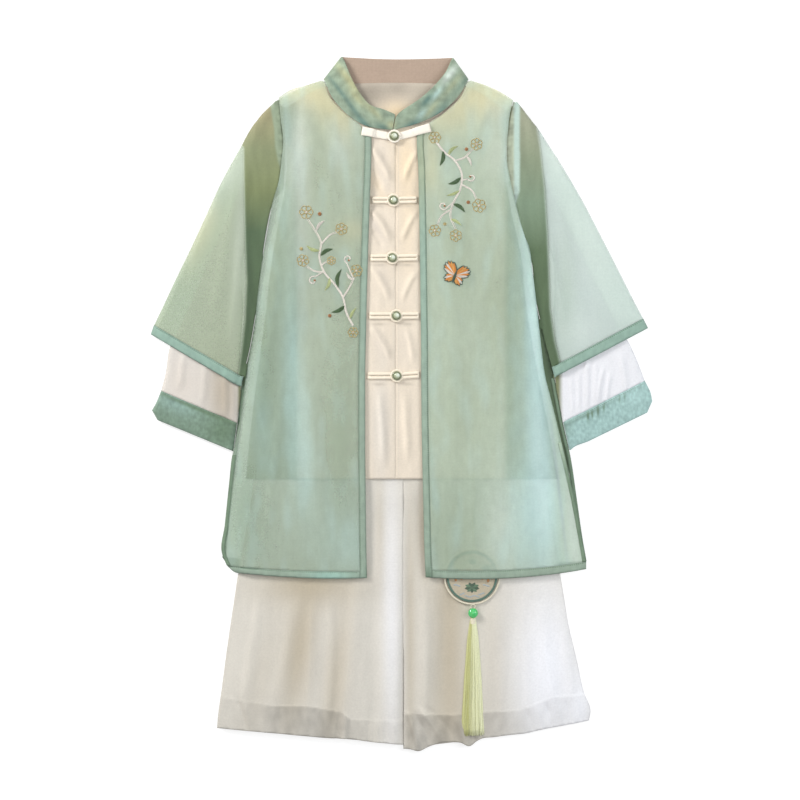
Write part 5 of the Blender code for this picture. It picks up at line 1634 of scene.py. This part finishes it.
def add_butterfly(pile, ground, x, y, size):
    """A butterfly from above: four wings in strips of orange and white, a thin dark body."""
    def off(angle, reach):
        turn = math.radians(HEADING + angle)
        return np.array((x, y)) + size * reach * np.array((math.cos(turn), math.sin(turn)))

    for first, last, length, strips in WINGS:
        for hand in (-1.0, 1.0):
            for i in range(strips):
                share = i / (strips - 1)
                angle = hand * (first + (last - first) * share)
                reach = length * (0.82 + 0.18 * math.sin(math.pi * share))
                half = 0.62 * size * reach * math.radians(last - first) / strips + 0.7
                add_ribbon(pile, ground, (off(angle, 0.4 * reach), off(angle, reach + 0.07)),
                           leaf_width(half + 0.6), 0.4, FOREST_SILK, 0.6, 0.5, 0.02)
                add_ribbon(pile, ground, (off(angle, 0.08), off(angle, reach)), leaf_width(half),
                           0.6, WING_SILKS[(i + strips) % len(WING_SILKS)], 0.5, 0.5,
                           0.35 + 0.05 * i)
    add_ribbon(pile, ground, (off(180, 0.5), off(0, 0.0), off(0, 0.4)), leaf_width(1.7), 1.0,
               FOREST_SILK, 0.6, 0.3, 0.9)
    for hand in (-1.0, 1.0):
        add_tendril(pile, ground, (off(0, 0.36), off(12 * hand, 0.62), off(20 * hand, 0.85)), 0.6,
                    FOREST_SILK)


add_right_spray()
add_left_spray()

# ---------------------------------------------------------------------------------------------
# Stitches beside the seams of the bindings, cuffs and hems
# ---------------------------------------------------------------------------------------------
# A seam is where the first piece's edge meets the second piece's. The stitches lie inset from it,
# on the first piece.
Seam = namedtuple("Seam", "node other inset half colour")
SEAMS = tuple(Seam(f"{node}_{side}", f"{other}_{side}", inset, half, BINDING_DEEP)
              for node, other, inset, half in (("robe_front_edge", "robe_front", 0.9, 0.55),
                                               ("robe_front_hem", "robe_front", 0.9, 0.55),
                                               ("robe_sleeve_hem", "robe_sleeve", 0.9, 0.60))
              for side in ("right", "left")) + (
    Seam("shirt_cuff_right", "shirt_sleeve_right", 1.4, 0.45, CUFF_DARK),
    Seam("shirt_cuff_left", "shirt_sleeve_left", 1.4, 0.45, CUFF),
    Seam("shirt_front_right", "shirt_front_left", 3.0, 0.22, LILAC),
    Seam("shirt_front_left", "shirt_front_right", 3.0, 0.22, LILAC),
)
SEAM_REACH = 1.3
STITCH_PITCH = 2.6
STITCH_LENGTH = 2.2
STITCH_RISE = 0.14


def seam_path(seam):
    """The line of a seam's stitches, in millimetres."""
    shape, other = joined_shape(seam.node), joined_shape(seam.other)
    line = smooth_outline(outline_of(seen_faces(shape, 1)), 1.0)
    edge = smooth_outline(outline_of(seen_faces(other, 1)), 0.6)
    shape.free()
    other.free()
    near = np.array([np.min(np.hypot(*(edge - point).T)) for point in line]) < SEAM_REACH
    ahead = np.roll(line, -1, axis=0) - np.roll(line, 1, axis=0)
    ahead /= np.linalg.norm(ahead, axis=1)[:, None] + 1e-9
    inward = np.column_stack((-ahead[:, 1], ahead[:, 0]))
    if not inside_outline(line[:1] + 0.3 * inward[:1], line)[0]:
        inward = -inward
    start = int(np.nonzero(~near)[0][0]) if (~near).any() else 0
    line, near, inward = (np.roll(values, -start, axis=0) for values in (line, near, inward))
    return (line + seam.inset * inward)[near]


def add_stitches(seam):
    ground = Ground(seam.node)
    path = seam_path(seam)
    pile = Pile(f"stitches_{seam.node}")
    along = np.concatenate(([0.0], np.cumsum(np.linalg.norm(np.diff(path, axis=0), axis=1))))
    for i in range(1, int(along[-1] / STITCH_PITCH)):
        ends = []
        for at in (i * STITCH_PITCH, i * STITCH_PITCH + STITCH_LENGTH):
            ends.append(np.array([np.interp(at, along, path[:, k]) for k in (0, 1)]))
        run = ends[1] - ends[0]
        length = float(np.linalg.norm(run))
        if not 0.5 * STITCH_LENGTH < length < 1.2 * STITCH_LENGTH:
            continue
        side = np.array((-run[1], run[0])) / length * seam.half
        middle = 0.5 * (ends[0] + ends[1])
        flat = (ends[0], middle + side, ends[1], middle - side, middle)
        lifts = (0.0, 0.0, 0.0, 0.0, STITCH_RISE)
        points = [(x, y, ground.height(x, y) + lift) for (x, y), lift in zip(flat, lifts)]
        pile.add(points, ((0, 4, 1), (1, 4, 2), (2, 4, 3), (3, 4, 0)), seam.colour)
    return pile.build("charm_silk") if pile.points else None


for seam in SEAMS:
    add_stitches(seam)

# ---------------------------------------------------------------------------------------------
# Waist charm
# ---------------------------------------------------------------------------------------------
CORD_DIAMETER = 0.0016
# The cord's route, in metres, from under the shirt's hem down to the disc
CORD_ROUTE = (
    (0.08620, -0.09250, 0.00610), (0.08711, -0.09966, 0.00610), (0.08758, -0.10681, 0.00567),
    (0.08739, -0.11397, 0.00514), (0.08661, -0.12113, 0.00495), (0.08523, -0.13186, 0.00495),
    (0.08485, -0.14260, 0.00495), (0.08586, -0.15333, 0.00495), (0.08722, -0.16407, 0.00495),
    (0.08753, -0.17480, 0.00496),
)
DISC_BAND = 1.8           # the dark band's distance from the disc's edge
TASSEL_THREADS = 320
THREAD_RADIUS = 0.30
LOTUS_DEEP = (0.120, 0.210, 0.130)
LOTUS_LIGHT = (0.160, 0.270, 0.190)
DISC_LEAVES = ((0.0, -13.0, 9.0, 90, LOTUS_DEEP), (-19.0, 6.0, 6.0, 30, LOTUS_LIGHT),
               (18.0, 10.0, 6.5, 150, LOTUS_DEEP), (1.0, 18.0, 5.0, 250, LOTUS_LIGHT))
DISC_BUDS = ((-19.0, -6.0, 5.5, 100), (-13.0, -4.0, 4.5, 70), (19.0, -7.0, 5.5, 80),
             (13.0, -4.0, 4.0, 110), (-6.0, 6.0, 6.0, 60), (8.0, 4.0, 5.0, 120))
DISC_WATER = ((-23.5, -9, 10), (-20.5, -15, -7), (-20.5, 7, 16), (-10.5, -22, -13),
              (-10.5, 13, 22), (-1.0, -8, 8))


class Plate:
    """A flat ground."""

    def __init__(self, top):
        self.top = top

    def height(self, x, y):
        return self.top


def add_charm_cord():
    """The cord from the shirt's hem to the disc: its piece, its path and its length."""
    path = smooth_path(np.array(CORD_ROUTE) / MM, 1.2)
    pile = Pile("charm_cord_twisted")
    add_cord(pile, path, 0.5 * CORD_DIAMETER / MM, PIPING_SILK, 8, 1.0, 0.8)
    made = pile.build("charm_cord", "charm_cord")
    length = float(np.linalg.norm(np.diff(path, axis=0), axis=1).sum()) * MM
    return made, path * MM, length


def add_loop(name, x, y, z, radius):
    """A small loop of piping, sewn to the disc's rim."""
    pile = Pile(name)
    path = [(a, b, z) for a, b in arc(x, y, radius, 0.0, 360.0, 15.0)]
    add_cord(pile, path, 0.6, PIPING_SILK, 8, 1.0, 0.6)
    return pile.build("charm_piping")


def add_disc():
    """The embroidered disc: a green band, a linen ground, lotus leaves, buds and water lines."""
    low, high = node_box("charm_disc")
    middle = 0.5 * (low + high)
    radius = 0.5 * (high[0] - low[0])
    top = high[2]
    pile = Pile("charm_disc_face")
    rings, sides = 10, 72
    points = [(middle[0], middle[1], top + 0.3)]
    for ring in range(1, rings + 1):
        share = ring / rings
        for side in range(sides):
            turn = 2.0 * math.pi * side / sides
            points.append((middle[0] + radius * share * math.cos(turn),
                           middle[1] + radius * share * math.sin(turn),
                           top + 0.3 * (1.0 - share ** 4) - 0.2 * share ** 8))
    faces = [(0, 1 + side, 1 + (side + 1) % sides) for side in range(sides)]
    for ring in range(rings - 1):
        faces += band_faces(1 + ring * sides, sides)
    edge = len(points) - sides
    points += [(x, y, low[2]) for x, y, _ in points[edge:]]
    faces += band_faces(edge, sides)
    faces.append(tuple(reversed(range(edge + sides, edge + 2 * sides))))
    stitches = [(x + 0.4 * y) / 0.7 for x, y, _ in points]
    pile.add(points, faces, LINEN_SILK, stitches)
    ground = Plate(top + 0.3)
    for y, x1, x2 in DISC_WATER:
        path = [(middle[0] + x, middle[1] + y + 0.9 * math.sin(0.55 * x)) for x in range(x1, x2, 2)]
        add_ribbon(pile, ground, path, 0.8, 0.4, WATER_SILK, 0.8, 0.6)
    for x, y, size, turn, colour in DISC_LEAVES:
        add_lotus_leaf(pile, ground, middle[0] + x, middle[1] + y, size, turn, colour)
    for x, y, size, turn in DISC_BUDS:
        start = (middle[0] + x, middle[1] + y)
        tip = (start[0] + size * math.cos(math.radians(turn)),
               start[1] + size * math.sin(math.radians(turn)))
        add_ribbon(pile, ground, (start, tip), leaf_width(0.30 * size), 0.6, BUD_SILK, 0.5, 0.3,
                   0.3)
    band = arc(*middle[:2], radius - DISC_BAND, 0.0, 360.0, 5.0)
    add_ribbon(pile, ground, band, 1.4, 0.7, TEAL_SILK, 0.7, 0.9, 0.2)
    return pile.build("charm_disc", "charm_disc")


def add_lotus_leaf(pile, ground, x, y, size, turn, colour):
    """A broad leaf: wedges of satin stitch round its middle, with a notch at its stalk."""
    wedges = 9
    for i in range(wedges):
        angle = math.radians(turn + 24.0 + 312.0 * i / (wedges - 1))
        tip = (x + size * math.cos(angle), y + 0.72 * size * math.sin(angle))
        shade = 0.7 + 0.6 * (i % 2)
        tone = tuple(shade * c for c in colour)
        add_ribbon(pile, ground, ((x, y), tip), leaf_width(0.26 * size), 0.5, tone, 0.5, 0.2)


def add_rim():
    """The twisted piping round the disc."""
    low, high = node_box("charm_rim")
    middle = 0.5 * (low + high)
    radius = 0.5 * (high[2] - low[2])
    major = 0.5 * (high[0] - low[0]) - radius
    pile = Pile("charm_rim_piping")
    path = [(x, y, middle[2]) for x, y in arc(*middle[:2], major, 0.0, 360.0, 3.0)]
    add_cord(pile, path, radius, PIPING_SILK, 12, 1.0, 0.55)
    return pile.build("charm_piping", "charm_rim")


def add_bead():
    """The glass bead."""
    low, high = node_box("charm_bead")
    middle = 0.5 * (low + high)
    size = 0.5 * (high - low)
    pile = Pile("charm_bead_glass")
    rings, sides = 18, 32
    points = []
    for ring in range(rings + 1):
        angle = math.pi * ring / rings
        for side in range(sides):
            turn = 2.0 * math.pi * side / sides
            points.append((middle[0] + size[0] * math.sin(angle) * math.cos(turn),
                           middle[1] + size[1] * math.cos(angle),
                           middle[2] + size[2] * math.sin(angle) * math.sin(turn)))
    faces = []
    for ring in range(rings):
        faces += [face[::-1] for face in band_faces(ring * sides, sides)]
    pile.add(points, faces, BEAD_GREEN)
    return pile.build("charm_bead", "charm_bead")


def add_tassel():
    """The tassel: straight silk threads that spread from a bound neck and end in a cut edge."""
    shape = joined_shape("charm_tassel")
    tree = BVHTree.FromBMesh(shape)
    points = np.array([v.co for v in shape.verts])
    shape.free()
    top, bottom = points[:, 1].max(), points[:, 1].min()
    rows = np.linspace(top, bottom + 0.5, 20)
    spans = []
    for y in rows:
        near = points[np.abs(points[:, 1] - y).argsort()[:20]]
        spans.append(section_of(tree, max(y, bottom + 0.7) - 0.2, near[:, 0].mean()))
    pile = Pile("charm_tassel_threads")
    draw = random.Random(7)
    for number in range(TASSEL_THREADS):
        across = draw.uniform(-1.0, 1.0)
        level = draw.uniform(0.0, 1.0) ** 0.7
        wander = draw.uniform(-0.8, 0.8)
        path = []
        for i, y in enumerate(rows):
            left, right, floor, ceiling = spans[i]
            share = i / (len(rows) - 1)
            lean = across * 0.94 + 0.07 * wander * math.sin(4.0 * share + 5.0 * wander)
            x = 0.5 * (left + right) + 0.5 * (right - left) * lean
            round_off = math.sqrt(max(0.0, 1.0 - lean ** 2))
            z = floor + 0.4 + (ceiling - floor - 0.5) * level * round_off
            path.append((x, y - share * 3.0 * wander, z))
        mix = min(1.0, max(0.0, 0.5 + 0.6 * across + draw.uniform(-0.45, 0.45)))
        radius = THREAD_RADIUS * draw.uniform(0.7, 1.4)
        colour = tuple(a + (b - a) * mix for a, b in zip(TASSEL_SILK, TASSEL_PALE))
        add_cord(pile, path, radius, colour, 4, 1.0, 0.0)
    left, right, floor, ceiling = spans[0]
    add_neck(pile, 0.5 * (left + right), top, 0.5 * (floor + ceiling))
    return pile.build("charm_silk", "charm_tassel")


def add_neck(pile, x, y, z):
    """Turns of thread that bind the tassel's neck."""
    turns, sides = 6, 14
    path = []
    for i in range(turns * sides + 1):
        turn = 2.0 * math.pi * i / sides
        path.append((x + 2.9 * math.cos(turn), y - 0.6 - 1.1 * i / sides, z + 2.0 * math.sin(turn)))
    add_cord(pile, path, 0.6, PIPING_SILK, 6)


def section_of(tree, y, x):
    """Left and right end, floor and ceiling of the tassel's CAD solid at y."""
    middle_top = tree.ray_cast(Vector((x, y, 60.0)), -UP)[0]
    middle_low = tree.ray_cast(Vector((x, y, -60.0)), UP)[0]
    z = 0.5 * (middle_top.z + middle_low.z)
    left = tree.ray_cast(Vector((x - 60.0, y, z)), Vector((1.0, 0.0, 0.0)))[0]
    right = tree.ray_cast(Vector((x + 60.0, y, z)), Vector((-1.0, 0.0, 0.0)))[0]
    return left.x, right.x, middle_low.z, middle_top.z


cord, cord_path, cord_length = add_charm_cord()
disc = add_disc()
add_rim()
rim_low, rim_high = node_box("charm_rim")
bead_low, bead_high = node_box("charm_bead")
bead_middle = 0.5 * (bead_low + bead_high)
upper_loop = add_loop("charm_upper_loop", cord_path[-1][0] / MM, rim_high[1] + 1.4,
                      cord_path[-1][2] / MM, 2.0)
add_loop("charm_lower_loop", bead_middle[0], 0.5 * (rim_low[1] + bead_high[1]),
         bead_middle[2], 2.6)
bead = add_bead()
tassel = add_tassel()

# ---------------------------------------------------------------------------------------------
# The cut of each sheet of cloth
# ---------------------------------------------------------------------------------------------
# flat is the width and length in metres, all round on a tube, and area the cut's own in square
# metres. The robe's back and the sleeves lie on the ground.
Cut = namedtuple("Cut", "node flat area held rests_on")
CUTS = (
    Cut("robe_back", (0.440, 0.582), 0.2000, "laid", ()),
    Cut("robe_front_right", (0.168, 0.590), 0.0742, "laid",
        ("robe_back", "shirt_front_right", "trousers_front_right")),
    Cut("robe_front_left", (0.186, 0.590), 0.0782, "laid",
        ("robe_back", "shirt_front_left", "trousers_front_left")),
    Cut("robe_sleeve_right", (0.240, 0.338), 0.0488, "laid", ()),
    Cut("robe_sleeve_left", (0.250, 0.306), 0.0493, "laid", ()),
    Cut("robe_collar", (0.030, 0.400), 0.0108, "folded", ("robe_back",)),
    Cut("shirt_back", (0.375, 0.477), 0.1443, "laid", ("robe_back",)),
    Cut("shirt_front_right", (0.180, 0.462), 0.0682, "laid",
        ("shirt_back", "trousers_front_right")),
    Cut("shirt_front_left", (0.196, 0.463), 0.0698, "laid",
        ("shirt_back", "trousers_front_left")),
    Cut("shirt_sleeve_right", (0.197, 0.386), 0.0397, "laid", ()),
    Cut("shirt_sleeve_left", (0.214, 0.385), 0.0399, "laid", ()),
    Cut("trousers_back_right", (0.223, 0.601), 0.1060, "laid", ("robe_back", "shirt_back")),
    Cut("trousers_back_left", (0.226, 0.606), 0.1029, "laid", ("robe_back", "shirt_back")),
    Cut("trousers_front_right", (0.224, 0.602), 0.1074, "laid", ("trousers_back_right",)),
    Cut("trousers_front_left", (0.226, 0.609), 0.1038, "laid", ("trousers_back_left",)),
    Cut("trousers_waistband", (0.0225, 0.522), 0.0117, "laid", ("shirt_back",)),
)


def on_sheets():
    """The names of the separate pieces on each sheet: bindings, cuffs, stitches, frogs."""
    found = {"robe_back": ["robe_back_hem", "robe_back_slit_binding_right",
                           "robe_back_slit_binding_left"]}
    for side in ("right", "left"):
        front = [f"robe_front_edge_{side}", f"robe_front_hem_{side}"]
        found[f"robe_front_{side}"] = front + [f"robe_slit_binding_{side}", f"embroidery_{side}"]
        found[f"robe_front_{side}"] += [f"stitches_{node}" for node in front]
        for sleeve, band in (("robe_sleeve", "robe_sleeve_hem"), ("shirt_sleeve", "shirt_cuff")):
            found[f"{sleeve}_{side}"] = [f"{band}_{side}", f"stitches_{band}_{side}"]
        cords = [f"frog_{number}_cords_{side}" for number in range(1, FROGS + 1)]
        found[f"shirt_front_{side}"] = [f"stitches_shirt_front_{side}"] + cords
    found["shirt_front_right"] += [f"frog_{number}_button_dome" for number in range(1, FROGS + 1)]
    return found


def shown_piece(name):
    """A finished piece, by its own name or by its CAD node's."""
    return PIECES[name] if name in PIECES else bpy.data.objects[name]


ON_SHEETS = on_sheets()
for cut in CUTS:
    [shown_piece(n) for n in ON_SHEETS.get(cut.node, ())]

# ---------------------------------------------------------------------------------------------
# Floor and light
# ---------------------------------------------------------------------------------------------


def add_floor():
    bpy.ops.mesh.primitive_plane_add(size=8.0, location=(0.0, 0.0, -0.0005))
    floor = bpy.context.object
    floor.name = "floor"
    finish = Finish("floor")
    finish.set(Base_Color=(0.45, 0.45, 0.45, 1.0), Roughness=0.9,
               Emission_Color=(1.0, 1.0, 1.0, 1.0), Emission_Strength=0.66)
    floor.data.materials.append(finish.material)


def add_area_light(name, place, size, power, colour=(1.0, 1.0, 1.0)):
    data = bpy.data.lights.new(name, "AREA")
    data.shape = "DISK"
    data.size = size
    data.energy = power
    data.color = colour
    made = bpy.data.objects.new(name, data)
    bpy.context.scene.collection.objects.link(made)
    made.location = place
    made.rotation_mode = "QUATERNION"
    made.rotation_quaternion = Vector(place).to_track_quat("Z", "Y")


def add_light():
    add_area_light("key", (-1.6, 1.2, 1.0), 0.7, 40.0, (1.0, 0.98, 0.95))
    add_area_light("fill", (1.7, 0.3, 1.4), 1.4, 21.0, (0.94, 0.98, 1.0))
    add_area_light("top", (0.0, 0.0, 3.0), 2.0, 14.0)
    world = bpy.data.worlds.new("studio")
    world.use_nodes = True
    world.node_tree.nodes["Background"].inputs["Color"].default_value = (1.0, 1.0, 1.0, 1.0)
    world.node_tree.nodes["Background"].inputs["Strength"].default_value = 0.43
    bpy.context.scene.world = world
    bpy.context.scene.view_settings.view_transform = "Standard"


add_floor()
add_light()
